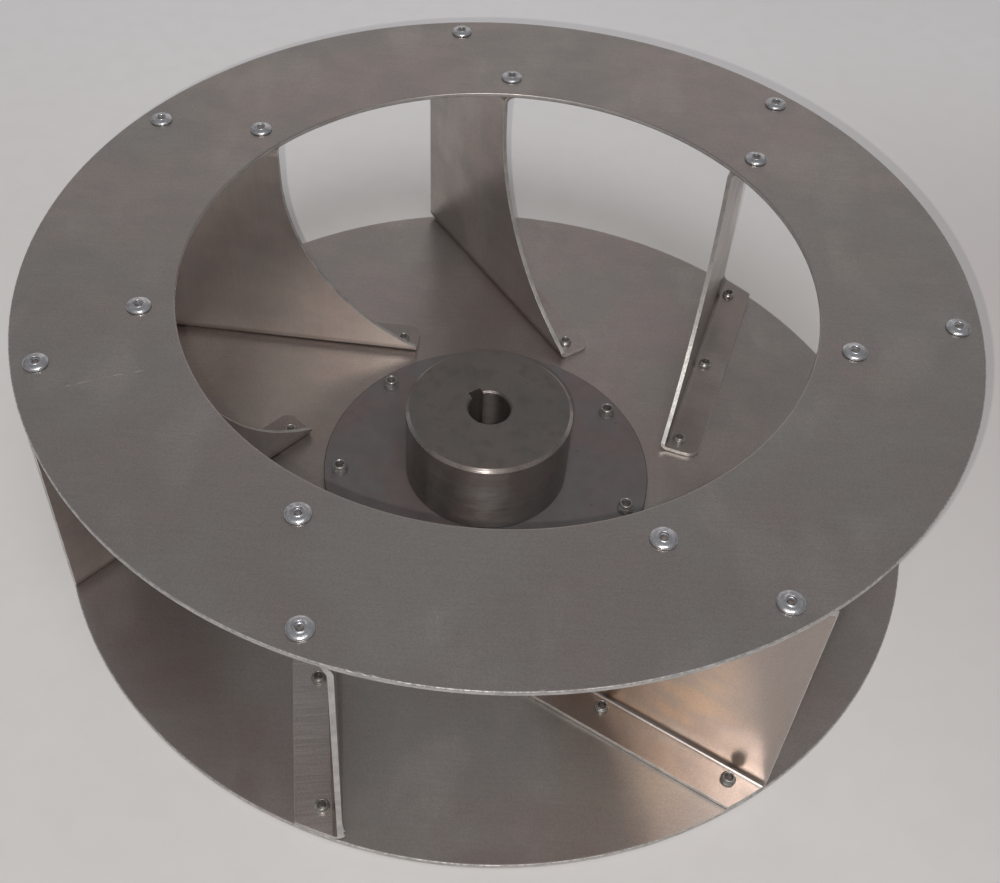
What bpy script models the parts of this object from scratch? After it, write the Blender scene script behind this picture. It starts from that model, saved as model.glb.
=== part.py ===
"""Backward-inclined centrifugal blower impeller, riveted together from aluminium sheet.

It lies on the rivet heads under its back plate, with the inlet facing up. The rotor's axis
is the Z axis, Z = 0 is the plane that the rivet heads rest on, and lengths are in metres.
A blade's own frame has X outwards along the blade, Z up, and the flanges on its -Y side.
"""

import math

import bmesh
import bpy
from mathutils import Matrix

OBJECT_NAME = "blower_impeller"
SHEET = 0.002
SEAT = 0.0003

BACK_PLATE_RADIUS = 0.190
SHROUD_RADIUS = 0.1875
INLET_RADIUS = 0.126
SHROUD_CLEARANCE = 0.1191

BLADE_COUNT = 7
BLADE_STEP = 2 * math.pi / BLADE_COUNT
FIRST_BLADE_ANGLE = math.radians(124.4)
BLADE_OFFSET = 0.0727
BLADE_LEAN = 0.0024
FLANGE_WIDTH = 0.0178
BEND_RADIUS = 0.004
FLANGE_CORNER_RADIUS = 0.005
BLADE_ROOT = 0.044
BLADE_EDGE_TOP = 0.105
BLADE_EDGE_RADIUS = 0.1095
BLADE_EDGE_LEVEL = 0.1045
BLADE_RIM_RADIUS_BOTTOM = 0.1898
BLADE_RIM_RADIUS_TOP = 0.1873

HUB_PLATE_RADIUS = 0.075
HUB_PLATE_THICKNESS = 0.005
BOSS_RADIUS = 0.037
BOSS_TOP_LEVEL = 0.0465
BOSS_CHAMFER = 0.0015
SPIGOT_RADIUS = 0.025
BORE_RADIUS = 0.0095
BORE_CHAMFER = 0.0008
KEYWAY_WIDTH = 0.006
KEYWAY_REACH = 0.0123
KEYWAY_ANGLE = math.radians(127.0)

RIVET_HEAD_HEIGHT = 0.0014
RIVET_HEAD_RIM = 0.0003
RIVET_BORE_TOP = 0.0013
RIVET_BORE_TAIL = 0.0016
SHEET_RIVET_RADIUS = 0.0023
SHEET_RIVET_HEAD_RADIUS = 0.00475
SHEET_RIVET_TAIL = 0.0024
HUB_RIVET_RADIUS = 0.0028
HUB_RIVET_HEAD_RADIUS = 0.0052
HUB_RIVET_TAIL = 0.0048
RIVET_LINE_OFFSET = 0.080
SHROUD_RIVETS = {"inner": 0.1141, "outer": 0.1592}
PLATE_RIVETS = {"inner": 0.0513, "middle": 0.1057, "outer": 0.1616}
HUB_RIVET_COUNT = 7
HUB_RIVET_CIRCLE = 0.0675
HUB_RIVET_ANGLE = math.radians(-18.6)

DISC_STEPS = 96
BOSS_STEPS = 48
RIVET_STEPS = 10
BEND_STEPS = 4
EDGE_STEPS = 14
CUT_MARGIN = 0.004
SMOOTH_ANGLE = math.radians(35)

# Heights of the stack, from the floor up
PLATE_BOTTOM = RIVET_HEAD_HEIGHT + SEAT
PLATE_TOP = PLATE_BOTTOM + SHEET
HUB_PLATE_BOTTOM = PLATE_TOP + SEAT
HUB_PLATE_TOP = HUB_PLATE_BOTTOM + HUB_PLATE_THICKNESS
BOSS_BOTTOM = HUB_PLATE_TOP + SEAT
BOSS_TOP = PLATE_BOTTOM + BOSS_TOP_LEVEL
SHROUD_BOTTOM = PLATE_TOP + SHROUD_CLEARANCE
SHROUD_TOP = SHROUD_BOTTOM + SHEET
BLADE_BOTTOM = PLATE_TOP + SEAT
BLADE_TOP = SHROUD_BOTTOM - SEAT


def clear_scene():
    for obj in list(bpy.data.objects):
        bpy.data.objects.remove(obj)


def new_collection(name, hidden=False):
    collection = bpy.data.collections.new(name)
    collection.hide_render = hidden
    bpy.context.scene.collection.children.link(collection)
    return collection


def metal(name, colour, roughness):
    material = bpy.data.materials.new(name)
    material.use_nodes = True
    shader = material.node_tree.nodes["Principled BSDF"]
    shader.inputs["Base Color"].default_value = (*colour, 1.0)
    shader.inputs["Roughness"].default_value = roughness
    shader.inputs["Metallic"].default_value = 1.0
    return material


def new_object(name, mesh, collection):
    obj = bpy.data.objects.new(name, mesh)
    collection.objects.link(obj)
    return obj


def turned(name, profile, steps, collection):
    """Turns a closed profile of (radius, height) points, outer side first and downwards, about Z."""
    mesh = bpy.data.meshes.new(name)
    outline = bmesh.new()
    verts = [outline.verts.new((radius, 0, height)) for radius, height in profile]
    for start, end in zip(verts, verts[1:] + verts[:1]):
        outline.edges.new((start, end))
    outline.to_mesh(mesh)
    outline.free()
    obj = new_object(name, mesh, collection)
    screw = obj.modifiers.new("turn", "SCREW")
    screw.steps = steps
    screw.render_steps = steps
    screw.use_merge_vertices = True
    screw.merge_threshold = 1e-6
    return obj


def flat_piece(name, outline, thickness, matrix, collection):
    """Makes a plate from a flat outline in its own XY plane, half its thickness each way."""
    curve = bpy.data.curves.new(name, "CURVE")
    curve.dimensions = "2D"
    curve.fill_mode = "BOTH"
    curve.extrude = thickness / 2
    spline = curve.splines.new("POLY")
    spline.points.add(len(outline) - 1)
    for point, (x, y) in zip(spline.points, outline):
        point.co = (x, y, 0, 1)
    spline.use_cyclic_u = True
    guide = new_object(name + "_outline", curve, collection)
    mesh = evaluated_mesh(guide)
    bpy.data.objects.remove(guide)
    merge = bmesh.new()
    merge.from_mesh(mesh)
    bmesh.ops.remove_doubles(merge, verts=merge.verts, dist=1e-6)
    bmesh.ops.recalc_face_normals(merge, faces=merge.faces)
    merge.to_mesh(mesh)
    merge.free()
    mesh.name = name
    obj = new_object(name, mesh, collection)
    obj.matrix_world = matrix
    return obj


def evaluated_mesh(obj):
    bpy.context.view_layer.update()
    graph = bpy.context.evaluated_depsgraph_get()
    return bpy.data.meshes.new_from_object(obj.evaluated_get(graph))


def as_cutter(obj):
    obj.hide_render = True
    obj.display_type = "WIRE"
    return obj


def combine(obj, other, operation):
    boolean = obj.modifiers.new(operation.lower() + "_" + other.name, "BOOLEAN")
    boolean.operation = operation
    boolean.solver = "EXACT"
    boolean.object = other


def finished_mesh(obj, material):
    """Returns the object's mesh as its modifiers leave it, smooth but for its sharp edges."""
    mesh = evaluated_mesh(obj)
    mesh.shade_smooth()
    mesh.set_sharp_from_angle(angle=SMOOTH_ANGLE)
    mesh.materials.clear()
    mesh.materials.append(material)
    return mesh


def finish(obj, material):
    name = obj.name
    mesh = finished_mesh(obj, material)
    obj.modifiers.clear()
    obj.data = mesh
    mesh.name = name


def hole_cutter(name, holes, bottom, top, collection):
    """Makes upright round cutters, one for each (x, y, radius)."""
    mesh = bpy.data.meshes.new(name)
    cylinders = bmesh.new()
    for x, y, radius in holes:
        bmesh.ops.create_cone(
            cylinders,
            cap_ends=True,
            segments=RIVET_STEPS,
            radius1=radius,
            radius2=radius,
            depth=top - bottom,
            matrix=Matrix.Translation((x, y, (top + bottom) / 2)),
        )
    cylinders.to_mesh(mesh)
    cylinders.free()
    return as_cutter(new_object(name, mesh, collection))


def arc(centre, radius, start, end, steps):
    """Returns points along a round arc, both ends included, from one angle to the other."""
    points = []
    for step in range(steps + 1):
        angle = start + (end - start) * step / steps
        points.append((centre[0] + radius * math.cos(angle), centre[1] + radius * math.sin(angle)))
    return points


def blade_angles():
    return [FIRST_BLADE_ANGLE + BLADE_STEP * index for index in range(BLADE_COUNT)]


def blade_places(distance):
    """Returns where a point of the rivet line, so far along each blade, lies on the rotor."""
    places = []
    for angle in blade_angles():
        x = distance * math.cos(angle) + RIVET_LINE_OFFSET * math.sin(angle)
        y = distance * math.sin(angle) - RIVET_LINE_OFFSET * math.cos(angle)
        places.append((x, y, angle))
    return places


def hub_rivet_places():
    places = []
    for index in range(HUB_RIVET_COUNT):
        angle = HUB_RIVET_ANGLE + 2 * math.pi * index / HUB_RIVET_COUNT
        places.append((HUB_RIVET_CIRCLE * math.cos(angle), HUB_RIVET_CIRCLE * math.sin(angle), angle))
    return places


def disc(name, outer, inner, bottom, thickness, collection):
    top = bottom + thickness
    profile = [(outer, top), (outer, bottom), (inner, bottom), (inner, top)]
    return turned(name, profile, DISC_STEPS, collection)


def leaned(offset, height):
    """Returns a point of the section moved towards the axis, in step with its height."""
    share = (height - BLADE_BOTTOM) / (BLADE_TOP - BLADE_BOTTOM)
    return offset - BLADE_LEAN * share, height


def section_outline():
    """Returns a blade's C-shaped section: its web leans in, a flange bent over at each end."""
    tip = BLADE_OFFSET + FLANGE_WIDTH + CUT_MARGIN
    bend = BLADE_OFFSET + BEND_RADIUS
    inside = BEND_RADIUS - SHEET
    low = (bend, BLADE_BOTTOM + BEND_RADIUS)
    high = (bend, BLADE_TOP - BEND_RADIUS)
    half_turn, quarter_turn = math.pi, math.pi / 2
    outline = [(tip, BLADE_BOTTOM)]
    outline += arc(low, BEND_RADIUS, -quarter_turn, -half_turn, BEND_STEPS)
    outline += arc(high, BEND_RADIUS, half_turn, quarter_turn, BEND_STEPS)
    outline += [(tip, BLADE_TOP), (tip, BLADE_TOP - SHEET)]
    outline += arc(high, inside, quarter_turn, half_turn, BEND_STEPS)
    outline += arc(low, inside, -half_turn, -quarter_turn, BEND_STEPS)
    outline += [(tip, BLADE_BOTTOM + SHEET)]
    return [leaned(offset, height) for offset, height in outline]


def leading_edge_outline():
    """Returns what the hollow curve of the blade's leading edge takes away, seen from the side."""
    centre_x = BLADE_EDGE_TOP - BLADE_EDGE_RADIUS
    level = PLATE_BOTTOM + BLADE_EDGE_LEVEL
    start = BLADE_ROOT - CUT_MARGIN
    start_angle = -math.acos((start - centre_x) / BLADE_EDGE_RADIUS)
    above = BLADE_TOP + CUT_MARGIN
    outline = arc((centre_x, level), BLADE_EDGE_RADIUS, start_angle, 0, EDGE_STEPS)
    return outline + [(BLADE_EDGE_TOP, above), (start, above)]


def flange_plan():
    """Returns the blade's plan from above, with the flange's inner corner rounded."""
    edge = -(BLADE_OFFSET + FLANGE_WIDTH)
    radius = FLANGE_CORNER_RADIUS
    beyond = BACK_PLATE_RADIUS + CUT_MARGIN
    inner_side = -(BLADE_OFFSET - BLADE_LEAN - CUT_MARGIN)
    corner = arc((BLADE_ROOT + radius, edge + radius), radius, math.pi, 1.5 * math.pi, BEND_STEPS)
    return corner + [(beyond, edge), (beyond, inner_side), (BLADE_ROOT, inner_side)]


def rim_cone(collection):
    """Makes the slightly tapered round form that every blade's outer end is trimmed to."""
    mesh = bpy.data.meshes.new("rim_cone")
    cone = bmesh.new()
    bmesh.ops.create_cone(
        cone,
        cap_ends=True,
        segments=DISC_STEPS,
        radius1=BLADE_RIM_RADIUS_BOTTOM,
        radius2=BLADE_RIM_RADIUS_TOP,
        depth=BLADE_TOP - BLADE_BOTTOM + 2 * CUT_MARGIN,
        matrix=Matrix.Translation((0, 0, (BLADE_TOP + BLADE_BOTTOM) / 2)),
    )
    cone.to_mesh(mesh)
    cone.free()
    return as_cutter(new_object("rim_cone", mesh, collection))


def blade_mesh(material, cutters):
    """Bends one blade as an overlong channel, then trims it to its plan, the rim and its edge."""
    start = BLADE_ROOT - CUT_MARGIN
    length = BACK_PLATE_RADIUS - start
    along_x = Matrix(((0, 0, -1, start + length / 2), (-1, 0, 0, 0), (0, 1, 0, 0), (0, 0, 0, 1)))
    channel = flat_piece("blade_channel", section_outline(), length, along_x, cutters)

    height = BLADE_TOP - BLADE_BOTTOM + 2 * CUT_MARGIN
    upright = Matrix.Translation((0, 0, (BLADE_TOP + BLADE_BOTTOM) / 2))
    plan = as_cutter(flat_piece("blade_plan", flange_plan(), height, upright, cutters))

    across = Matrix.Translation((0, -(BLADE_OFFSET + FLANGE_WIDTH / 2), 0))
    across = across @ Matrix.Rotation(math.pi / 2, 4, "X")
    depth = FLANGE_WIDTH + 4 * CUT_MARGIN
    edge = as_cutter(flat_piece("leading_edge", leading_edge_outline(), depth, across, cutters))

    radius = SHEET_RIVET_RADIUS + SEAT
    low = [(distance, -RIVET_LINE_OFFSET, radius) for distance in PLATE_RIVETS.values()]
    high = [(distance, -RIVET_LINE_OFFSET, radius) for distance in SHROUD_RIVETS.values()]
    middle = (BLADE_BOTTOM + BLADE_TOP) / 2
    low_holes = hole_cutter("low_flange_holes", low, BLADE_BOTTOM - CUT_MARGIN, middle, cutters)
    high_holes = hole_cutter("high_flange_holes", high, middle, BLADE_TOP + CUT_MARGIN, cutters)

    combine(channel, plan, "INTERSECT")
    combine(channel, rim_cone(cutters), "INTERSECT")
    combine(channel, edge, "DIFFERENCE")
    combine(channel, low_holes, "DIFFERENCE")
    combine(channel, high_holes, "DIFFERENCE")
    mesh = finished_mesh(channel, material)
    mesh.transform(channel.matrix_world)
    bpy.data.objects.remove(channel)
    return mesh


def make_blades(material, parts, cutters):
    mesh = blade_mesh(material, cutters)
    for number, angle in enumerate(blade_angles(), 1):
        blade = new_object("blade_%d" % number, mesh, parts)
        blade.rotation_euler.z = angle


def make_back_plate(material, parts, cutters):
    plate = disc("back_plate", BACK_PLATE_RADIUS, SPIGOT_RADIUS + SEAT, PLATE_BOTTOM, SHEET, parts)
    holes = []
    for distance in PLATE_RIVETS.values():
        holes += [(x, y, SHEET_RIVET_RADIUS + SEAT) for x, y, _ in blade_places(distance)]
    holes += [(x, y, HUB_RIVET_RADIUS + SEAT) for x, y, _ in hub_rivet_places()]
    bottom, top = PLATE_BOTTOM - CUT_MARGIN, PLATE_TOP + CUT_MARGIN
    combine(plate, hole_cutter("back_plate_holes", holes, bottom, top, cutters), "DIFFERENCE")
    finish(plate, material)


def make_shroud_ring(material, parts, cutters):
    ring = disc("shroud_ring", SHROUD_RADIUS, INLET_RADIUS, SHROUD_BOTTOM, SHEET, parts)
    holes = []
    for distance in SHROUD_RIVETS.values():
        holes += [(x, y, SHEET_RIVET_RADIUS + SEAT) for x, y, _ in blade_places(distance)]
    bottom, top = SHROUD_BOTTOM - CUT_MARGIN, SHROUD_TOP + CUT_MARGIN
    combine(ring, hole_cutter("shroud_holes", holes, bottom, top, cutters), "DIFFERENCE")
    finish(ring, material)


def make_hub_plate(material, parts, cutters):
    plate = disc(
        "hub_plate", HUB_PLATE_RADIUS, SPIGOT_RADIUS + SEAT, HUB_PLATE_BOTTOM, HUB_PLATE_THICKNESS, parts
    )
    holes = [(x, y, HUB_RIVET_RADIUS + SEAT) for x, y, _ in hub_rivet_places()]
    bottom, top = HUB_PLATE_BOTTOM - CUT_MARGIN, HUB_PLATE_TOP + CUT_MARGIN
    combine(plate, hole_cutter("hub_plate_holes", holes, bottom, top, cutters), "DIFFERENCE")
    finish(plate, material)


def make_hub_boss(material, parts, cutters):
    """Turns the boss with its spigot through both plates, then cuts the keyway along its bore."""
    profile = [
        (BOSS_RADIUS - BOSS_CHAMFER, BOSS_TOP),
        (BOSS_RADIUS, BOSS_TOP - BOSS_CHAMFER),
        (BOSS_RADIUS, BOSS_BOTTOM),
        (SPIGOT_RADIUS, BOSS_BOTTOM),
        (SPIGOT_RADIUS, PLATE_BOTTOM),
        (BORE_RADIUS, PLATE_BOTTOM),
        (BORE_RADIUS, BOSS_TOP - BORE_CHAMFER),
        (BORE_RADIUS + BORE_CHAMFER, BOSS_TOP),
    ]
    boss = turned("hub_boss", profile, BOSS_STEPS, parts)
    mesh = bpy.data.meshes.new("keyway")
    box = bmesh.new()
    bmesh.ops.create_cube(box, size=1)
    size = (KEYWAY_REACH, KEYWAY_WIDTH, BOSS_TOP + 2 * CUT_MARGIN)
    bmesh.ops.scale(box, vec=size, verts=box.verts)
    bmesh.ops.translate(box, vec=(KEYWAY_REACH / 2, 0, BOSS_TOP / 2), verts=box.verts)
    box.to_mesh(mesh)
    box.free()
    keyway = as_cutter(new_object("keyway", mesh, cutters))
    keyway.rotation_euler.z = KEYWAY_ANGLE
    combine(boss, keyway, "DIFFERENCE")
    finish(boss, material)


def rivet_mesh(name, radius, head_radius, length, material, cutters):
    """Turns one blind rivet, its head above Z = 0 and its shank and open tail below."""
    shoulder = (head_radius + radius) / 2
    profile = [
        (RIVET_BORE_TOP, RIVET_HEAD_HEIGHT),
        (shoulder, RIVET_HEAD_HEIGHT - RIVET_HEAD_RIM / 2),
        (head_radius, RIVET_HEAD_RIM),
        (head_radius, 0),
        (radius, 0),
        (radius, -length),
        (RIVET_BORE_TAIL, -length),
    ]
    blank = turned(name, profile, RIVET_STEPS, cutters)
    mesh = finished_mesh(blank, material)
    mesh.name = name
    bpy.data.objects.remove(blank)
    return mesh


def sheet_rivet_mesh(name, material, cutters):
    """Turns a rivet that joins two sheets."""
    length = 2 * (SHEET + SEAT) + SHEET_RIVET_TAIL
    return rivet_mesh(name, SHEET_RIVET_RADIUS, SHEET_RIVET_HEAD_RADIUS, length, material, cutters)


def make_shroud_rivets(material, parts, cutters):
    mesh = sheet_rivet_mesh("shroud_rivet", material, cutters)
    for row, distance in SHROUD_RIVETS.items():
        for number, (x, y, angle) in enumerate(blade_places(distance), 1):
            rivet = new_object("shroud_rivet_%s_%d" % (row, number), mesh, parts)
            rivet.location = (x, y, SHROUD_TOP + SEAT)
            rivet.rotation_euler.z = angle


def hang_rivet(rivet, x, y, angle):
    """Puts a rivet in from below, its head on the floor and its tail up."""
    rivet.location = (x, y, RIVET_HEAD_HEIGHT)
    rivet.rotation_euler = (math.pi, 0, angle)


def make_plate_rivets(material, parts, cutters):
    mesh = sheet_rivet_mesh("plate_rivet", material, cutters)
    for row, distance in PLATE_RIVETS.items():
        for number, (x, y, angle) in enumerate(blade_places(distance), 1):
            hang_rivet(new_object("plate_rivet_%s_%d" % (row, number), mesh, parts), x, y, angle)


def make_hub_rivets(material, parts, cutters):
    length = SHEET + HUB_PLATE_THICKNESS + 2 * SEAT + HUB_RIVET_TAIL
    mesh = rivet_mesh("hub_rivet", HUB_RIVET_RADIUS, HUB_RIVET_HEAD_RADIUS, length, material, cutters)
    for number, (x, y, angle) in enumerate(hub_rivet_places(), 1):
        hang_rivet(new_object("hub_rivet_%d" % number, mesh, parts), x, y, angle)


def main():
    clear_scene()
    parts = new_collection(OBJECT_NAME)
    cutters = new_collection("cutters", hidden=True)
    back_sheet = metal("back_plate_aluminium", (0.36, 0.34, 0.32), 0.42)
    shroud_sheet = metal("shroud_aluminium", (0.40, 0.38, 0.36), 0.40)
    blade_sheet = metal("blade_aluminium", (0.38, 0.35, 0.32), 0.40)
    plate_steel = metal("hub_plate_steel", (0.20, 0.18, 0.17), 0.50)
    boss_steel = metal("hub_boss_steel", (0.16, 0.15, 0.14), 0.42)
    zinc = metal("rivet_zinc", (0.55, 0.58, 0.60), 0.30)

    make_back_plate(back_sheet, parts, cutters)
    make_shroud_ring(shroud_sheet, parts, cutters)
    make_blades(blade_sheet, parts, cutters)
    make_hub_plate(plate_steel, parts, cutters)
    make_hub_boss(boss_steel, parts, cutters)
    make_shroud_rivets(zinc, parts, cutters)
    make_plate_rivets(zinc, parts, cutters)
    make_hub_rivets(zinc, parts, cutters)


main()
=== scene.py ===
"""Looks of a backward-inclined blower impeller, riveted together from aluminium sheet.

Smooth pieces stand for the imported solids: two sheet discs, seven folded blades, a hub plate, a
turned boss and rows of blind rivets. Lengths are in metres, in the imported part's own frame: the
rotor's axis is Z, and Z = 0 is the plane that the rivet heads under the back plate rest on.
"""

import logging
import math
from collections.abc import Callable
from dataclasses import dataclass, field, replace
from enum import Enum

import bmesh
import bpy
import numpy as np
from mathutils import Matrix, Vector

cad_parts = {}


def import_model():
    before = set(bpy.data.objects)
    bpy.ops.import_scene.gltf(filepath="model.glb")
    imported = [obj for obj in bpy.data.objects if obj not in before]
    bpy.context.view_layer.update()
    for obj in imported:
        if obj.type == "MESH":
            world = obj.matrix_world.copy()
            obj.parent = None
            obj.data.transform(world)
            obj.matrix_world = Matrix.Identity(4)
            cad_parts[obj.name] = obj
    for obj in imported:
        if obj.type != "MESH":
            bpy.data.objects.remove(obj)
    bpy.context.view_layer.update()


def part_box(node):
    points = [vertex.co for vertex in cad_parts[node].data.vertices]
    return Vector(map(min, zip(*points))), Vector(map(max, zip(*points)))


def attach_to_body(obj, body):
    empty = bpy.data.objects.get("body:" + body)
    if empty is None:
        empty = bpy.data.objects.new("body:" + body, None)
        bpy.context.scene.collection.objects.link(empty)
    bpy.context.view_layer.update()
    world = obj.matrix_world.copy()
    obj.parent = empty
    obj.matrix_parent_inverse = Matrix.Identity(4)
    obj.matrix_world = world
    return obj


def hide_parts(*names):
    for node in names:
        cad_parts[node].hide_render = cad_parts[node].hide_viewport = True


BODY = "root"
MILLIMETRE = 0.001
FULL_TURN = 2 * math.pi
QUARTER_TURN = math.pi / 2
BLADE_COUNT = 7
SHEET = 2 * MILLIMETRE
INLET_RADIUS = 0.126
SPIGOT_RADIUS = 0.025
SHEET_PLACE = "sheet_place"

Colour = tuple[float, float, float]
Point = tuple[float, float, float]
Span = tuple[float, float]
Socket = bpy.types.NodeSocket

log = logging.getLogger("impeller")


class Skin(Enum):
    """Which of a piece's finishes a face takes."""

    FACE = 0
    CUT = 1
    EASED = 2
    INSIDE = 3


class Facing(Enum):
    """Which way a rivet's head faces."""

    UP = 1
    DOWN = -1


def tinted(colour: Colour, factors: Point) -> Colour:
    """Returns a colour with each part multiplied by its own factor, and held below one."""
    return tuple(min(1.0, part * factor) for part, factor in zip(colour, factors))


@dataclass(frozen=True)
class Specks:
    """Round specks of a radius, on a share of places that lie a spacing apart."""

    spacing: float
    share: float
    radius: float


class Wiring:
    """Adds nodes to one node tree and joins their sockets."""

    def __init__(self, tree: bpy.types.NodeTree) -> None:
        """Keeps the tree that the nodes go into."""
        self.tree = tree

    def node(self, kind: str, inputs: dict | None = None, **settings: object) -> bpy.types.Node:
        """Adds one node.

        Args:
            kind: The node's type without its ShaderNode prefix.
            inputs: What each named or numbered input takes, a socket or a value.
            settings: The node's own properties.

        Returns:
            The new node.
        """
        made = self.tree.nodes.new("ShaderNode" + kind)
        for name, value in settings.items():
            setattr(made, name, value)
        for key, value in (inputs or {}).items():
            if isinstance(value, bpy.types.NodeSocket):
                self.tree.links.new(value, made.inputs[key])
            else:
                made.inputs[key].default_value = value
        return made

    def link(self, value: Socket, shader: bpy.types.Node, name: str) -> None:
        """Joins a value to one of a shader's named inputs."""
        self.tree.links.new(value, shader.inputs[name])

    def place(self) -> Socket:
        """Returns the place on a piece, in Object coordinates."""
        return self.node("TexCoord").outputs["Object"]

    def math(self, operation: str, first: Socket | float, second: Socket | float = 0.0) -> Socket:
        """Returns the result of one Math node."""
        return self.node("Math", {0: first, 1: second}, operation=operation).outputs[0]

    def times(self, first: Socket | float, second: Socket | float) -> Socket:
        """Returns the product of two values."""
        return self.math("MULTIPLY", first, second)

    def part(self, vector: Socket, axis: int) -> Socket:
        """Returns one of a vector's three numbers."""
        return self.node("SeparateXYZ", {0: vector}).outputs[axis]

    def along(self, vector: Socket, direction: Point) -> Socket:
        """Returns how far a vector reaches along a direction, times the direction's own length."""
        return self.node("VectorMath", {0: vector, 1: direction}, operation="DOT_PRODUCT").outputs["Value"]

    def scaled(self, vector: Socket, factors: Point) -> Socket:
        """Returns a vector with each of its three numbers multiplied by its own factor."""
        return self.node("VectorMath", {0: vector, 1: factors}, operation="MULTIPLY").outputs[0]

    def noise(self, vector: Socket, scale: Socket | float, detail: float = 2.0) -> Socket:
        """Returns a smooth random value around one half."""
        inputs = {"Vector": vector, "Scale": scale, "Detail": detail}
        return self.node("TexNoise", inputs).outputs["Fac"]

    def spread(
        self,
        value: Socket,
        low: Socket | float,
        high: Socket | float,
        to_low: float = 0.0,
        to_high: float = 1.0,
    ) -> Socket:
        """Returns a value carried smoothly from one range to another, and held at its ends."""
        inputs = {0: value, 1: low, 2: high, 3: to_low, 4: to_high}
        return self.node("MapRange", inputs, interpolation_type="SMOOTHSTEP").outputs[0]

    def mixed(self, share: Socket | float, first: Socket | Colour, second: Socket | Colour) -> Socket:
        """Returns a colour between two colours."""
        ends = [c if isinstance(c, bpy.types.NodeSocket) else (*c, 1.0) for c in (first, second)]
        return self.node("Mix", {0: share, 6: ends[0], 7: ends[1]}, data_type="RGBA").outputs[2]

    def group(self, tree: bpy.types.NodeTree, inputs: dict) -> Socket:
        """Places a shared group and returns its only output."""
        return self.node("Group", inputs, node_tree=tree).outputs[0]

    def clouds(self, vector: Socket, size: float) -> Socket:
        """Places the group of cloudy blotches, each about size metres across."""
        return self.group(cloud_group(), {"Vector": vector, "Size": size})

    def scratches(self, vector: Socket, turn: float) -> Socket:
        """Places the group of thin scratches, turned by an angle in radians."""
        return self.group(scratch_group(), {"Vector": vector, "Turn": turn})

    def specks(self, vector: Socket, kind: Specks) -> Socket:
        """Places the group of round specks."""
        sizes = {"Spacing": kind.spacing, "Share": kind.share, "Radius": kind.radius}
        return self.group(speck_group(), {"Vector": vector, **sizes})


def shared_group(
    name: str, numbers: tuple[str, ...], output: str, draw: Callable[[Wiring, bpy.types.Node], Socket]
) -> bpy.types.NodeTree:
    """Makes a node group once, with a Vector input, inputs for numbers, and one output.

    Args:
        name: The group's name.
        numbers: The names of its number inputs.
        output: The name of its output.
        draw: Adds the nodes between the group's inputs and its output, and returns the last socket.

    Returns:
        The group's tree.
    """
    found = bpy.data.node_groups.get(name)
    if found:
        return found
    tree = bpy.data.node_groups.new(name, "ShaderNodeTree")
    tree.interface.new_socket("Vector", in_out="INPUT", socket_type="NodeSocketVector")
    for number in numbers:
        tree.interface.new_socket(number, in_out="INPUT", socket_type="NodeSocketFloat")
    tree.interface.new_socket(output, in_out="OUTPUT", socket_type="NodeSocketFloat")
    start = tree.nodes.new("NodeGroupInput")
    end = tree.nodes.new("NodeGroupOutput")
    tree.links.new(draw(Wiring(tree), start), end.inputs[0])
    return tree


def cloud_group() -> bpy.types.NodeTree:
    """Returns the group of soft cloudy blotches, each about Size metres across."""

    def draw(wiring: Wiring, start: bpy.types.Node) -> Socket:
        """Raises a noise's contrast until it parts into blotches."""
        scale = wiring.math("DIVIDE", 1.0, start.outputs["Size"])
        return wiring.spread(wiring.noise(start.outputs["Vector"], scale, 5.0), 0.36, 0.66)

    return shared_group("cloudy_blotches", ("Size",), "Mask", draw)


def scratch_group() -> bpy.types.NodeTree:
    """Returns the group of sparse thin scratches, turned by Turn radians on the sheet.

    Returns:
        The group's tree.
    """
    wander_reach = 4 * MILLIMETRE
    stretch = (7.0, 1500.0, 7.0)

    def draw(wiring: Wiring, start: bpy.types.Node) -> Socket:
        """Keeps only the peaks of a long stretched noise, broken up by another noise.

        Args:
            wiring: Where the nodes go.
            start: The node of the group's inputs.

        Returns:
            The mask's socket.
        """
        inputs = {"Vector": start.outputs["Vector"], "Angle": start.outputs["Turn"]}
        turned = wiring.node("VectorRotate", inputs, rotation_type="Z_AXIS").outputs[0]
        wander = wiring.times(wiring.noise(turned, 9.0, 1.0), wander_reach)
        aside = wiring.node("CombineXYZ", {1: wander}).outputs[0]
        shifted = wiring.node("VectorMath", {0: turned, 1: aside}, operation="ADD").outputs[0]
        thin = wiring.spread(wiring.noise(wiring.scaled(shifted, stretch), 1.0, 0.0), 0.83, 0.90)
        broken = wiring.spread(wiring.noise(turned, 26.0, 2.0), 0.58, 0.66)
        return wiring.times(thin, broken)

    return shared_group("thin_scratches", ("Turn",), "Mask", draw)


def speck_group() -> bpy.types.NodeTree:
    """Returns the group of round specks of a Radius, on a Share of places that lie Spacing apart.

    Returns:
        The group's tree.
    """
    solid_share = 0.4

    def draw(wiring: Wiring, start: bpy.types.Node) -> Socket:
        """Puts a dot round the point of a share of a Voronoi pattern's cells.

        Args:
            wiring: Where the nodes go.
            start: The node of the group's inputs.

        Returns:
            The mask's socket.
        """
        spacing, radius = start.outputs["Spacing"], start.outputs["Radius"]
        scale = wiring.math("DIVIDE", 1.0, spacing)
        cells = wiring.node("TexVoronoi", {"Vector": start.outputs["Vector"], "Scale": scale})
        distance = wiring.times(cells.outputs["Distance"], spacing)
        dot = wiring.spread(distance, wiring.times(radius, solid_share), radius, 1.0, 0.0)
        chance = wiring.node("SeparateColor", {0: cells.outputs["Color"]}).outputs[0]
        return wiring.times(dot, wiring.math("LESS_THAN", chance, start.outputs["Share"]))

    return shared_group("small_specks", ("Spacing", "Share", "Radius"), "Mask", draw)


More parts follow.
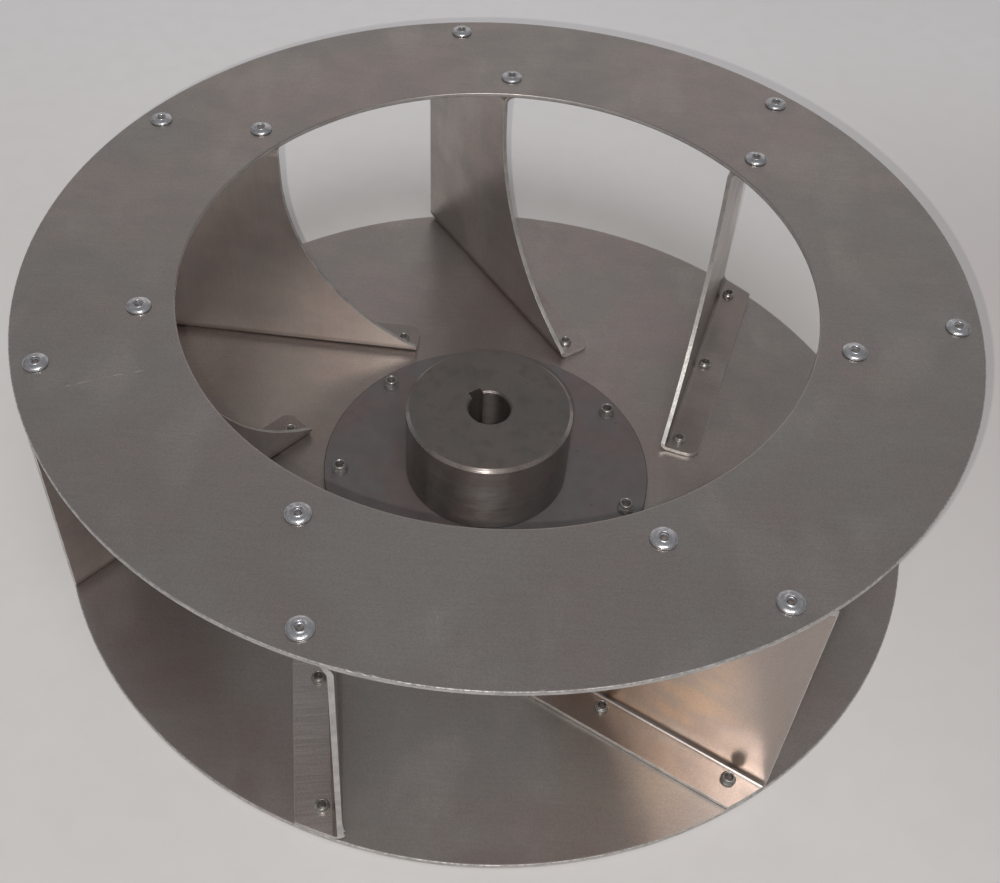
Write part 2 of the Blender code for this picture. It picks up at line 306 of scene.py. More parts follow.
def node_material(name: str) -> tuple[bpy.types.Material, Wiring, bpy.types.Node]:
    """Makes a material out of nodes.

    Args:
        name: The material's name.

    Returns:
        The material, the wiring of its nodes, and its Principled BSDF.
    """
    material = bpy.data.materials.new(name)
    material.use_nodes = True
    tree = material.node_tree
    return material, Wiring(tree), tree.nodes["Principled BSDF"]


@dataclass(frozen=True)
class Surface:
    """What a finish's nodes give its shader; the relief's depth is in metres."""

    colour: Socket
    roughness: Socket
    relief: Socket
    depth: float
    strength: float = 1.0


@dataclass(frozen=True)
class Metal:
    """A finish of bare metal. The share that isn't metallic is a dull haze over it.

    Hooping is how far fine hoops round the axis draw the gloss out along the axis.
    """

    name: str
    colour: Colour
    roughness: float
    metallic: float
    hooping: float = 0.0

    def surface(self, wiring: Wiring) -> Surface:
        """Adds the nodes of the finish's colour, roughness and relief."""
        raise NotImplementedError

    def shaded(self, wiring: Wiring, share: Socket, colour: Socket | Colour, factors: Point) -> Socket:
        """Returns a colour mixed, by a mask, with a tint of the finish's own colour."""
        return wiring.mixed(share, colour, tinted(self.colour, factors))

    def rough(self, wiring: Wiring, mask: Socket, less: float, more: float) -> Socket:
        """Returns the finish's roughness, a little less where the mask is zero and more where it is one."""
        return wiring.spread(mask, 0.0, 1.0, self.roughness - less, self.roughness + more)

    def material(self) -> bpy.types.Material:
        """Builds the material, a Principled BSDF that takes what the surface gives.

        Returns:
            The new material.
        """
        quarter_turn = 0.25
        material, wiring, shader = node_material(self.name)
        shader.inputs["Metallic"].default_value = self.metallic
        shader.inputs["Anisotropic"].default_value = self.hooping
        shader.inputs["Anisotropic Rotation"].default_value = quarter_turn
        surface = self.surface(wiring)
        wiring.link(surface.colour, shader, "Base Color")
        wiring.link(surface.roughness, shader, "Roughness")
        inputs = {"Height": surface.relief, "Distance": surface.depth, "Strength": surface.strength}
        wiring.link(wiring.node("Bump", inputs).outputs[0], shader, "Normal")
        return material


@dataclass(frozen=True)
class LongScratch:
    """One straight scratch on a sheet, from one place to another, broken along its length."""

    start: Span
    end: Span
    width: float = 0.2 * MILLIMETRE

    def mask(self, wiring: Wiring, flat: Socket) -> Socket:
        """Returns the scratch's mask.

        It is one where the distance from the scratch's line is under its width, between its two
        ends, and where a noise leaves it whole.

        Args:
            wiring: Where the nodes go.
            flat: The sheet's flat coordinates.

        Returns:
            The mask's socket.
        """
        run = (self.end[0] - self.start[0], self.end[1] - self.start[1])
        length = math.hypot(*run)
        ahead = (run[0] / length, run[1] / length, 0.0)
        beside = (-ahead[1], ahead[0], 0.0)
        inputs = {0: flat, 1: (*self.start, 0.0)}
        shifted = wiring.node("VectorMath", inputs, operation="SUBTRACT").outputs[0]
        along = wiring.along(shifted, ahead)
        aside = wiring.along(shifted, beside)
        wander = wiring.spread(wiring.noise(flat, 60.0, 1.0), 0.3, 0.7, -2 * self.width, 2 * self.width)
        distance = wiring.math("ABSOLUTE", wiring.math("SUBTRACT", aside, wander))
        line = wiring.spread(distance, 0.3 * self.width, self.width, 1.0, 0.0)
        from_start = wiring.math("GREATER_THAN", along, 0.0)
        to_end = wiring.math("LESS_THAN", along, length)
        whole = wiring.spread(wiring.noise(flat, 330.0, 2.0), 0.42, 0.56, 0.1, 1.0)
        return wiring.times(wiring.times(line, whole), wiring.times(from_start, to_end))


@dataclass(frozen=True)
class MillSheet(Metal):
    """Rolled aluminium as it came from the mill: cloudy, faintly lined, lightly scratched.

    Its patterns read each sheet's flat coordinates, unrolled over a blade's folds. A blade may
    also have painted shade along its fold, a painted warm reflection of the lamp on its web, and
    a ground strip as wide as ground_width along its lower edge.
    """

    metallic: float = 0.90
    lines: Point = (45.0, 900.0, 1.0)
    cloud_size: float = 0.055
    patch_size: float = 0.020
    grain_size: float = 0.55 * MILLIMETRE
    haze_scale: float = 31.0
    wave_scale: float = 30.0
    duskiness: float = 0.6
    haze: float = 1.14
    # A painted warm reflection of the lamp on a blade's web: its strength, where its end fades, where its
    # foot fades, and the slant of its end.
    painted_glow: float = 0.0
    glow_end: Span = (0.150, 0.184)
    glow_foot: Span = (0.016, 0.020)
    glow_slant: float = 0.29
    web_foot: Span = (0.016, 0.030)
    ground_width: float = 0.0
    ground_lines: Point = (1900.0, 45.0, 1.0)
    # Where the painted shade along a blade's lower fold is centred on the unrolled sheet, and how far it
    # fades out.
    fold: float = 0.0
    fold_shade_reach: Span = (0.6 * MILLIMETRE, 3 * MILLIMETRE)
    scratching: float = 0.08
    scratch: LongScratch | None = None
    scratch_turns: Span = (0.35, -0.9)
    bright_specks: Specks = Specks(0.013, 0.10, 0.35 * MILLIMETRE)
    dark_specks: Specks = Specks(0.011, 0.14, 0.6 * MILLIMETRE)
    reddish: Point = (1.04, 0.985, 0.985)
    greenish: Point = (0.95, 0.99, 0.975)
    dusky: Point = (0.87, 0.885, 0.90)
    # Tints of the painted warm reflection, and of the rest of that web.
    glow_tint: Point = (1.32, 1.05, 0.79)
    beside_glow: Point = (0.87, 0.84, 0.82)
    ground_tint: Point = (1.72, 1.76, 1.80)
    # Tint of the painted shade along a fold.
    fold_shade_tint: Point = (0.55, 0.51, 0.49)
    grain_tint: Point = (0.35, 0.35, 0.35)
    line_tint: Point = (0.70, 0.69, 0.68)
    mark_tint: Point = (0.40, 0.37, 0.35)
    bared: Colour = (0.95, 0.94, 0.93)

    def tone(self, wiring: Wiring, flat: Socket, clouds: Socket, patches: Socket) -> Socket:
        """Returns the sheet's colour before its marks: reddish and greenish clouds, fine grain, and a
        blade's painted shade and painted warm reflection.

        Args:
            wiring: Where the nodes go.
            flat: The sheet's flat coordinates.
            clouds: The mask of the large clouds.
            patches: The mask of the small patches.

        Returns:
            The colour's socket.
        """
        colour = self.shaded(wiring, clouds, tinted(self.colour, self.reddish), self.greenish)
        colour = self.shaded(wiring, wiring.times(patches, self.duskiness), colour, self.dusky)
        uneven = wiring.noise(wiring.scaled(flat, (1.0, 0.6, 1.0)), self.haze_scale, 5.0)
        hazy = wiring.spread(uneven, 0.50, 0.68, 0.0, 0.7)
        colour = self.shaded(wiring, hazy, colour, (self.haze, self.haze, self.haze))
        # Painted warm reflection of the lamp over a blade's web, which is first darkened a little all over.
        if self.painted_glow:
            web = wiring.spread(wiring.part(flat, 1), *self.web_foot)
            colour = self.shaded(wiring, web, colour, self.beside_glow)
            colour = self.shaded(wiring, self.glow_mask(wiring, flat), colour, self.glow_tint)
        if self.ground_width:
            colour = self.shaded(wiring, self.ground(wiring, flat), colour, self.ground_tint)
        # Painted shade: a soft dark band along the lower fold, on both sides of the sheet, for the shade in
        # its crease.
        if self.fold:
            away = wiring.math("ABSOLUTE", wiring.math("SUBTRACT", wiring.part(flat, 1), self.fold))
            share = wiring.spread(away, *self.fold_shade_reach, 0.75, 0.0)
            colour = self.shaded(wiring, share, colour, self.fold_shade_tint)
        grain = wiring.spread(wiring.noise(flat, 1.0 / self.grain_size), 0.35, 0.70, 0.0, 0.24)
        return self.shaded(wiring, grain, colour, self.grain_tint)

    def glow_mask(self, wiring: Wiring, flat: Socket) -> Socket:
        """Returns the mask of a blade's painted warm reflection: past its fold, and thinner towards its
        end.

        The painted reflection ends along a line that slants inwards up the blade.

        Args:
            wiring: Where the nodes go.
            flat: The sheet's flat coordinates.

        Returns:
            The mask's socket.
        """
        outwards, upwards = wiring.part(flat, 0), wiring.part(flat, 1)
        slanted = wiring.math("ADD", outwards, wiring.times(upwards, self.glow_slant))
        inner = wiring.spread(slanted, *self.glow_end, 1.0, 0.0)
        web = wiring.spread(upwards, *self.glow_foot)
        mottled = wiring.noise(wiring.scaled(flat, (1.0, 2.4, 1.0)), self.wave_scale, 6.0)
        thin = wiring.spread(mottled, 0.40, 0.58, 0.30 * self.painted_glow, self.painted_glow)
        return wiring.times(thin, wiring.times(inner, web))

    def ground(self, wiring: Wiring, flat: Socket) -> Socket:
        """Returns the mask of a strip that was ground crosswise, along the sheet's lower edge.

        Args:
            wiring: Where the nodes go.
            flat: The sheet's flat coordinates.

        Returns:
            The mask's socket.
        """
        strip = wiring.math("LESS_THAN", wiring.part(flat, 1), self.ground_width)
        lines = wiring.noise(wiring.scaled(flat, self.ground_lines), 1.0)
        return wiring.times(strip, wiring.spread(lines, 0.30, 0.66, 0.66, 1.0))

    def light_marks(self, wiring: Wiring, flat: Socket) -> Socket:
        """Returns the mask of what bares the bright metal: scratches two ways, and bright specks.

        Args:
            wiring: Where the nodes go.
            flat: The sheet's flat coordinates.

        Returns:
            The mask's socket.
        """
        one_way, other_way = (wiring.scratches(flat, turn) for turn in self.scratch_turns)
        scratches = wiring.times(wiring.math("MAXIMUM", one_way, other_way), self.scratching)
        if self.scratch:
            scratches = wiring.math("MAXIMUM", scratches, self.scratch.mask(wiring, flat))
        specks = wiring.times(wiring.specks(flat, self.bright_specks), 0.8)
        return wiring.math("MAXIMUM", scratches, specks)

    def surface(self, wiring: Wiring) -> Surface:
        """Adds the sheet's tone and marks, and a relief of fine grain on long low waves.

        Args:
            wiring: Where the nodes go.

        Returns:
            What the shader takes.
        """
        flat = wiring.node("Attribute", attribute_name=SHEET_PLACE).outputs["Vector"]
        clouds = wiring.clouds(flat, self.cloud_size)
        patches = wiring.clouds(wiring.scaled(flat, (1.0, 1.5, 1.0)), self.patch_size)
        colour = self.tone(wiring, flat, clouds, patches)
        faint = wiring.spread(wiring.noise(wiring.scaled(flat, self.lines), 1.0), 0.35, 0.65, 0.0, 0.14)
        colour = self.shaded(wiring, faint, colour, self.line_tint)
        dark = wiring.times(wiring.specks(flat, self.dark_specks), 0.35)
        colour = self.shaded(wiring, dark, colour, self.mark_tint)
        colour = wiring.mixed(self.light_marks(wiring, flat), colour, self.bared)
        rough = wiring.math("ADD", self.rough(wiring, clouds, 0.02, 0.03), wiring.times(patches, 0.04))
        grain = wiring.times(wiring.noise(flat, 1.0 / self.grain_size), 0.5)
        waves = wiring.times(wiring.noise(flat, self.wave_scale, 1.0), 6.0)
        return Surface(colour, rough, wiring.math("ADD", grain, waves), 0.008 * MILLIMETRE)


@dataclass(frozen=True)
class ShearedEdge(Metal):
    """The greyish wall of a sheet's cut edge, scored by the shear across its thickness."""

    name: str = "sheared_aluminium_edge"
    colour: Colour = (0.63, 0.615, 0.60)
    roughness: float = 0.44
    metallic: float = 0.55
    torn_scale: float = 1400.0
    dull_scale: float = 150.0
    dulled: Point = (0.74, 0.75, 0.75)

    def surface(self, wiring: Wiring) -> Surface:
        """Adds a torn grain of a millimetre or less, and duller stretches.

        Args:
            wiring: Where the nodes go.

        Returns:
            What the shader takes.
        """
        place = wiring.place()
        torn = wiring.noise(wiring.scaled(place, (1.0, 1.0, 0.35)), self.torn_scale, 4.0)
        dull = wiring.spread(wiring.noise(place, self.dull_scale, 3.0), 0.35, 0.7)
        shade = self.shaded(wiring, dull, self.colour, self.dulled)
        rough = wiring.spread(torn, 0.2, 0.8, self.roughness - 0.10, self.roughness + 0.12)
        return Surface(shade, rough, torn, 0.12 * MILLIMETRE, 0.7)


@dataclass(frozen=True)
class CrustedMetal(Metal):
    """Metal with a patchy crust on it, darker and rougher than what it leaves bare."""

    crust_size: float = 1.25 * MILLIMETRE
    crusted: Point = (0.50, 0.48, 0.46)

    def surface(self, wiring: Wiring) -> Surface:
        """Adds the crust, a noise that darkens, roughens and raises the metal.

        Args:
            wiring: Where the nodes go.

        Returns:
            What the shader takes.
        """
        crust = wiring.noise(wiring.place(), 1.0 / self.crust_size, 3.0)
        shade = self.shaded(wiring, wiring.spread(crust, 0.35, 0.65), self.colour, self.crusted)
        rough = wiring.spread(crust, 0.3, 0.7, self.roughness - 0.1, self.roughness + 0.1)
        return Surface(shade, rough, crust, 0.1 * MILLIMETRE, 0.6)


@dataclass(frozen=True)
class BurnishedEdge(CrustedMetal):
    """The bright narrow corner along a cut edge, with bits of burr."""

    name: str = "burnished_aluminium_corner"
    colour: Colour = (0.95, 0.905, 0.875)
    roughness: float = 0.36
    metallic: float = 0.45
    crust_size: float = MILLIMETRE / 0.7
    crusted: Point = (0.62, 0.62, 0.62)


@dataclass(frozen=True)
class PlateSteel(Metal):
    """The hub plate's dark flat steel, mottled and speckled, half dull with oxide."""

    name: str = "hub_plate_steel"
    colour: Colour = (0.215, 0.197, 0.191)
    roughness: float = 0.46
    metallic: float = 0.45
    cloud_size: float = 0.026
    patch_size: float = 0.007
    grain_scale: float = 1100.0
    pits: Specks = Specks(0.006, 0.35, 0.8 * MILLIMETRE)
    pinkish: Point = (1.06, 0.96, 0.97)
    bluish: Point = (0.95, 0.985, 1.04)
    patched: Point = (0.84, 0.82, 0.82)
    rust: Colour = (0.10, 0.085, 0.075)

    def surface(self, wiring: Wiring) -> Surface:
        """Adds pinkish and bluish clouds, darker patches, rusty pits and a fine grain.

        Args:
            wiring: Where the nodes go.

        Returns:
            What the shader takes.
        """
        place = wiring.place()
        clouds = wiring.clouds(place, self.cloud_size)
        patches = wiring.clouds(place, self.patch_size)
        pits = wiring.specks(place, self.pits)
        colour = self.shaded(wiring, clouds, tinted(self.colour, self.pinkish), self.bluish)
        colour = self.shaded(wiring, wiring.times(patches, 0.5), colour, self.patched)
        colour = wiring.mixed(wiring.times(pits, 0.5), colour, self.rust)
        relief = wiring.math("SUBTRACT", wiring.noise(place, self.grain_scale, 3.0), pits)
        rough = self.rough(wiring, clouds, 0.04, 0.06)
        return Surface(colour, rough, relief, 0.015 * MILLIMETRE, 0.8)


@dataclass(frozen=True)
class TurnedSteel(Metal):
    """Lathe-turned steel: fine rings round the axis on its end, fine hoops along its side."""

    groove: float = 0.010 * MILLIMETRE
    ring_pitch: float = 0.40 * MILLIMETRE
    cloud_size: float = 0.020
    band_scale: float = 240.0
    stain_scale: float = 170.0
    pits: Specks = Specks(0.004, 0.30, 0.6 * MILLIMETRE)
    warm: Point = (1.05, 0.98, 0.96)
    cool: Point = (0.88, 0.90, 0.89)
    banded: Point = (1.3, 1.3, 1.3)
    stained: Point = (0.72, 0.70, 0.68)
    pit_colour: Colour = (0.08, 0.07, 0.06)

    def surface(self, wiring: Wiring) -> Surface:
        """Adds rings that depend on the distance from the axis and the height, stains and pits.

        Args:
            wiring: Where the nodes go.

        Returns:
            What the shader takes.
        """
        place = wiring.place()
        flat = wiring.scaled(place, (1.0, 1.0, 0.0))
        reach = wiring.node("VectorMath", {0: flat}, operation="LENGTH").outputs["Value"]
        along = wiring.node("CombineXYZ", {0: reach, 1: wiring.part(place, 2)}).outputs[0]
        rings = wiring.noise(along, 1.0 / self.ring_pitch)
        bands = wiring.spread(wiring.noise(along, self.band_scale), 0.45, 0.75, 0.0, 0.35)
        clouds = wiring.clouds(place, self.cloud_size)
        pits = wiring.specks(place, self.pits)
        stains = wiring.spread(wiring.noise(place, self.stain_scale, 5.0), 0.50, 0.68, 0.0, 0.5)
        colour = self.shaded(wiring, clouds, tinted(self.colour, self.warm), self.cool)
        colour = self.shaded(wiring, bands, colour, self.banded)
        colour = self.shaded(wiring, stains, colour, self.stained)
        colour = wiring.mixed(wiring.times(pits, 0.6), colour, self.pit_colour)
        return Surface(colour, self.rough(wiring, clouds, 0.03, 0.05), rings, self.groove)


@dataclass(frozen=True)
class ZincPlate(Metal):
    """The bluish zinc on a blind rivet, uneven where the head was pressed."""

    name: str = "rivet_zinc"
    colour: Colour = (0.78, 0.79, 0.82)
    roughness: float = 0.24
    metallic: float = 0.82
    stain: Colour = (0.52, 0.53, 0.55)
    cloud_size: float = 2.2 * MILLIMETRE
    dent_scale: float = 800.0

    def surface(self, wiring: Wiring) -> Surface:
        """Adds stained blotches and small dents.

        Args:
            wiring: Where the nodes go.

        Returns:
            What the shader takes.
        """
        place = wiring.place()
        blotches = wiring.clouds(place, self.cloud_size)
        colour = wiring.mixed(blotches, self.colour, self.stain)
        rough = self.rough(wiring, blotches, 0.05, 0.12)
        dents = wiring.noise(place, self.dent_scale)
        return Surface(colour, rough, dents, 0.13 * MILLIMETRE, 0.6)


@dataclass(frozen=True)
class MandrelSteel(CrustedMetal):
    """The dull broken end of a rivet's mandrel, down in the rivet's bore."""

    name: str = "mandrel_steel"
    colour: Colour = (0.40, 0.37, 0.355)
    roughness: float = 0.50
    metallic: float = 0.7


def arc_points(centre: Span, radius: float, start: float, end: float, steps: int) -> np.ndarray:
    """Returns points along a round arc, both ends included.

    Args:
        centre: The arc's centre.
        radius: The arc's radius.
        start: The first point's angle in radians.
        end: The last point's angle in radians.
        steps: How many equal steps the arc is cut into.

    Returns:
        The points, one row each: the centre plus the radius times (cosine, sine) of the angle.
    """
    angle = np.linspace(start, end, steps + 1)
    return np.stack([centre[0] + radius * np.cos(angle), centre[1] + radius * np.sin(angle)], axis=1)


def rough_line(count: int, knots: tuple[int, ...], seed: int) -> np.ndarray:
    """Returns a rough closed line of values around zero.

    Args:
        count: How many values.
        knots: How many random values each layer is drawn through; each layer is half the last one.
        seed: What the random values start from.

    Returns:
        The sum of the layers, each one straight between its random values.
    """
    rng = np.random.default_rng(seed)
    place = np.arange(count) / count
    total = np.zeros(count)
    for layer, number in enumerate(knots):
        values = rng.normal(0.0, 1.0, number) * 0.5**layer
        total += np.interp(place, np.arange(number) / number, values, period=1.0)
    return total


def grid_quads(rows: int, columns: int, wrap_rows: bool, wrap_columns: bool) -> np.ndarray:
    """Returns the four corners of each square of a grid of points, numbered row by row.

    Args:
        rows: How many rows of points.
        columns: How many columns of points.
        wrap_rows: Whether the last row joins the first.
        wrap_columns: Whether the last column joins the first.

    Returns:
        Rows of four point numbers.
    """
    row = np.arange(rows if wrap_rows else rows - 1)
    column = np.arange(columns if wrap_columns else columns - 1)
    row, column = np.meshgrid(row, column, indexing="ij")
    below, beside = (row + 1) % rows, (column + 1) % columns
    row, below = row * columns, below * columns
    return np.stack([row + column, row + beside, below + beside, below + column], axis=-1).reshape(-1, 4)


def facing_outwards(points: np.ndarray, quads: np.ndarray) -> np.ndarray:
    """Returns the squares, turned round if the volume that they close is negative.

    The volume has the sign of the sum, over both triangles of each square, of one corner's
    dot product with the cross product of the other two.

    Args:
        points: The shape's points.
        quads: The four corners of each square.

    Returns:
        The corners in their final order.
    """
    first, second, third, fourth = (points[quads[:, corner]] for corner in range(4))
    products = np.cross(second, third) + np.cross(third, fourth)
    volume = np.einsum("ij,ij->", first, products)
    return quads[:, ::-1] if volume < 0 else quads


def added(name: str, data: bpy.types.ID) -> bpy.types.Object:
    """Makes an object and adds it to the scene.

    Args:
        name: The object's name.
        data: Its mesh, camera or light.

    Returns:
        The object, at the origin.
    """
    made = bpy.data.objects.new(name, data)
    bpy.context.scene.collection.objects.link(made)
    return made


@dataclass
class Shape:
    """A closed surface as arrays: its points, its squares, and each square's finish."""

    points: np.ndarray
    quads: np.ndarray
    skins: np.ndarray
    flat: np.ndarray | None = None

    def build(self, name: str, finishes: list[bpy.types.Material], sharp: float) -> bpy.types.Object:
        """Makes the mesh and its object, which stays at the origin.

        Args:
            name: The piece's name.
            finishes: The materials, in the order of Skin.
            sharp: The angle in radians past which an edge isn't shaded smooth.

        Returns:
            The new object.
        """
        quads = facing_outwards(self.points, self.quads)
        mesh = bpy.data.meshes.new(name)
        mesh.vertices.add(len(self.points))
        mesh.vertices.foreach_set("co", self.points.astype(np.float32).ravel())
        mesh.loops.add(quads.size)
        mesh.loops.foreach_set("vertex_index", quads.astype(np.int32).ravel())
        mesh.polygons.add(len(quads))
        mesh.polygons.foreach_set("loop_start", np.arange(0, quads.size, 4, dtype=np.int32))
        mesh.polygons.foreach_set("material_index", self.skins.astype(np.int32))
        if self.flat is not None:
            place = mesh.attributes.new(SHEET_PLACE, "FLOAT_VECTOR", "POINT")
            place.data.foreach_set("vector", self.flat.astype(np.float32).ravel())
        mesh.update(calc_edges=True)
        mesh.validate()
        mesh.shade_smooth()
        mesh.set_sharp_from_angle(angle=sharp)
        for finish in finishes:
            mesh.materials.append(finish)
        return added(name, mesh)


def even_turns(steps: int) -> np.ndarray:
    """Returns the angles of a full turn's equal steps."""
    return np.arange(steps) * FULL_TURN / steps


def turned_points(section: list | np.ndarray, turn: np.ndarray) -> np.ndarray:
    """Returns the points of a section carried round the Z axis.

    A point is (radius times cosine, radius times sine, height) of its turn.

    Args:
        section: Rows of (radius, height). A radius is one number, or one for each turn.
        turn: The angles in radians.

    Returns:
        A grid of section rows by turns.
    """
    return np.stack([
        np.stack([radius * np.cos(turn), radius * np.sin(turn), height + 0 * turn], axis=-1)
        for radius, height in section
    ])


def turned_shape(section: list, skins: np.ndarray, turn: np.ndarray) -> Shape:
    """Returns the closed shape of a closed section carried once round the Z axis.

    Args:
        section: Rows of (radius, height), as turned_points takes them.
        skins: The finish of the stretch after each row.
        turn: The angles in radians.

    Returns:
        The shape, without flat coordinates.
    """
    points = turned_points(section, turn).reshape(-1, 3)
    quads = grid_quads(len(section), len(turn), True, True)
    return Shape(points, quads, np.repeat(skins, len(turn)))


def attach(piece: bpy.types.Object, nodes: list[str]) -> None:
    """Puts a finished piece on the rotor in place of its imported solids.

    Args:
        piece: The piece.
        nodes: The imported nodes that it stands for.
    """
    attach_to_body(piece, BODY)
    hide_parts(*nodes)
    log.info("%s: %d faces for %s", piece.name, len(piece.data.polygons), ", ".join(nodes))


@dataclass(frozen=True)
class Burr:
    """A stretch of a disc's rim where the shear left a ragged lip."""

    middle: float
    reach: float
    height: float
    knots: int = 90


@dataclass
class SheetDisc:
    """A flat ring of sheet whose edges are sheared, with eased and slightly ragged corners."""

    name: str
    node: str
    slot: str
    face: MillSheet
    inner: float
    place_shift: float
    burrs: tuple[Burr, ...] = ()
    ragged: float = 0.01 * MILLIMETRE
    steps: int = 900
    rounding: float = 0.42 * MILLIMETRE
    seed: int = 1

    def profile(self, outer: float, bottom: float, top: float) -> tuple[np.ndarray, np.ndarray]:
        """Returns the ring's section, a flat bar with rounded corners.

        Args:
            outer: The ring's outer radius.
            bottom: The height of its underside.
            top: The height of its upper side.

        Returns:
            The (radius, height) points round the bar, and the finish of the stretch after each.
        """
        ease = self.rounding
        near, far = self.inner + ease, outer - ease
        rows, corner = 6, 3
        reach = np.linspace(near + ease, far - ease, rows)
        reach[1], reach[-2] = near + 2 * ease, far - 2 * ease
        upper = np.stack([reach, np.full(rows, top)], axis=1)
        lower = np.stack([reach[::-1], np.full(rows, bottom)], axis=1)
        outline = np.concatenate([
            upper,
            arc_points((far, top - ease), ease, QUARTER_TURN, 0.0, corner),
            arc_points((far, bottom + ease), ease, 0.0, -QUARTER_TURN, corner),
            lower,
            arc_points((near, bottom + ease), ease, -QUARTER_TURN, -math.pi, corner),
            arc_points((near, top - ease), ease, math.pi, QUARTER_TURN, corner),
        ])
        face, cut, eased = Skin.FACE.value, Skin.CUT.value, Skin.EASED.value
        side = [face] * rows
        rim = [eased] * corner + [cut] + [eased] * corner + [face]
        hole = [face] * corner + [cut] + [face] * (corner + 1)
        return outline, np.array(side + rim + side + hole)

    def raised(self) -> np.ndarray:
        """Returns how far the rim's upper corner is raised at each turn.

        Each burr is a rough line's size under a bell: the square of the cosine, over a quarter
        turn, of the distance from the burr's middle as a share of its reach.

        Returns:
            The heights in metres, one for each step of the turn.
        """
        turn = even_turns(self.steps)
        total = np.zeros(self.steps)
        for number, burr in enumerate(self.burrs):
            away = np.abs((turn - burr.middle + math.pi) % FULL_TURN - math.pi)
            bell = np.cos(np.clip(away / burr.reach, 0.0, 1.0) * QUARTER_TURN) ** 2
            rough = np.abs(rough_line(self.steps, (burr.knots * 4, self.steps), self.seed + 7 + number))
            total += burr.height * bell * np.minimum(rough, 1.5)
        return total

    def shape(self) -> Shape:
        """Carries the section round the axis, then makes its outer edge slightly ragged.

        The outer edge moves inwards by a rough line's value, and its upper corner is raised
        where there is a burr.

        Returns:
            The disc's shape, whose two sides read their patterns from places far apart.
        """
        low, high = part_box(self.node)
        outer, bottom, top = high.x, low.z, high.z
        outline, finish = self.profile(outer, bottom, top)
        points = turned_points(outline, even_turns(self.steps))
        middle = (top + bottom) / 2
        reach = np.hypot(points[..., 0], points[..., 1])
        rim = reach > outer - 1.5 * self.rounding
        worn = self.ragged * np.abs(rough_line(self.steps, (60, 240, self.steps), self.seed))
        shrink = np.where(rim, 1.0 - np.minimum(worn, 3 * self.ragged) / outer, 1.0)
        points[..., :2] *= shrink[..., None]
        points[..., 2] += np.where(rim & (points[..., 2] > middle), self.raised(), 0.0)
        quads = grid_quads(len(outline), self.steps, True, True)
        places = points.reshape(-1, 3)
        side = np.where(places[:, 2] > middle, self.place_shift, -self.place_shift)
        flat = np.column_stack([places[:, :2], side])
        return Shape(places, quads, np.repeat(finish, self.steps), flat)

    def dress(self, edges: list[bpy.types.Material]) -> None:
        """Builds the disc in its finishes and puts it on the rotor."""
        piece = self.shape().build(self.name, [self.face.material(), *edges], math.radians(50))
        attach(piece, [self.node])


@dataclass
class BladeSection:
    """A blade's C-shaped section: its web leans in, with a flange bent over at each end."""

    offset: float = 0.0727
    lean: float = 0.0024
    flange: float = 0.0178
    bend: float = 0.004
    edge_row: float = 0.4 * MILLIMETRE
    flange_rows: int = 12
    bend_steps: int = 8

    def skin(self, depth: float, bottom: float, top: float, web_rows: np.ndarray) -> np.ndarray:
        """Returns one side of the section, a given depth into the sheet.

        The whole section is sheared: a point moves towards the axis by the lean times its share
        of the blade's height, and the flanges' free ends stay where they are.

        Args:
            depth: The distance from the web's outer side, zero or the sheet's thickness.
            bottom: The height of the lower flange's underside.
            top: The height of the upper flange's upper side.
            web_rows: Heights of the web's rows.

        Returns:
            Rows of (distance beside the axis, height, unrolled length).
        """
        radius = self.bend - depth
        centre = self.offset + self.bend
        tip = self.offset + self.flange
        low, high = bottom + self.bend, top - self.bend
        inwards = np.linspace(tip, centre, self.flange_rows)
        inwards[1] = tip - self.edge_row
        lower = np.stack([inwards, np.full(len(inwards), bottom + depth)], axis=1)
        lower_bend = arc_points((centre, low), radius, -QUARTER_TURN, -math.pi, self.bend_steps)
        web = np.stack([np.full(len(web_rows), self.offset + depth), web_rows], axis=1)
        upper_bend = arc_points((centre, high), radius, math.pi, QUARTER_TURN, self.bend_steps)
        upper = np.stack([inwards[::-1], np.full(len(inwards), top - depth)], axis=1)
        line = np.concatenate([lower, lower_bend[1:], web, upper_bend, upper[1:]])
        shift = self.lean * (line[:, 1] - bottom) / (top - bottom)
        shift *= np.clip((tip - line[:, 0]) / (tip - centre), 0.0, 1.0)
        line[:, 0] -= shift
        bend_length = QUARTER_TURN * (self.bend - SHEET / 2)
        flange_length = tip - centre
        flange_share = np.linspace(0.0, 1.0, len(inwards))
        bend_share = np.linspace(0.0, 1.0, self.bend_steps + 1)
        at_web = flange_length + bend_length
        at_top = at_web + high - low
        unrolled = np.concatenate([
            flange_share * flange_length,
            flange_length + bend_share[1:] * bend_length,
            at_web + (web_rows - low),
            at_top + bend_share * bend_length,
            at_top + bend_length + flange_share[1:] * flange_length,
        ])
        return np.concatenate([line, unrolled[:, None]], axis=1)


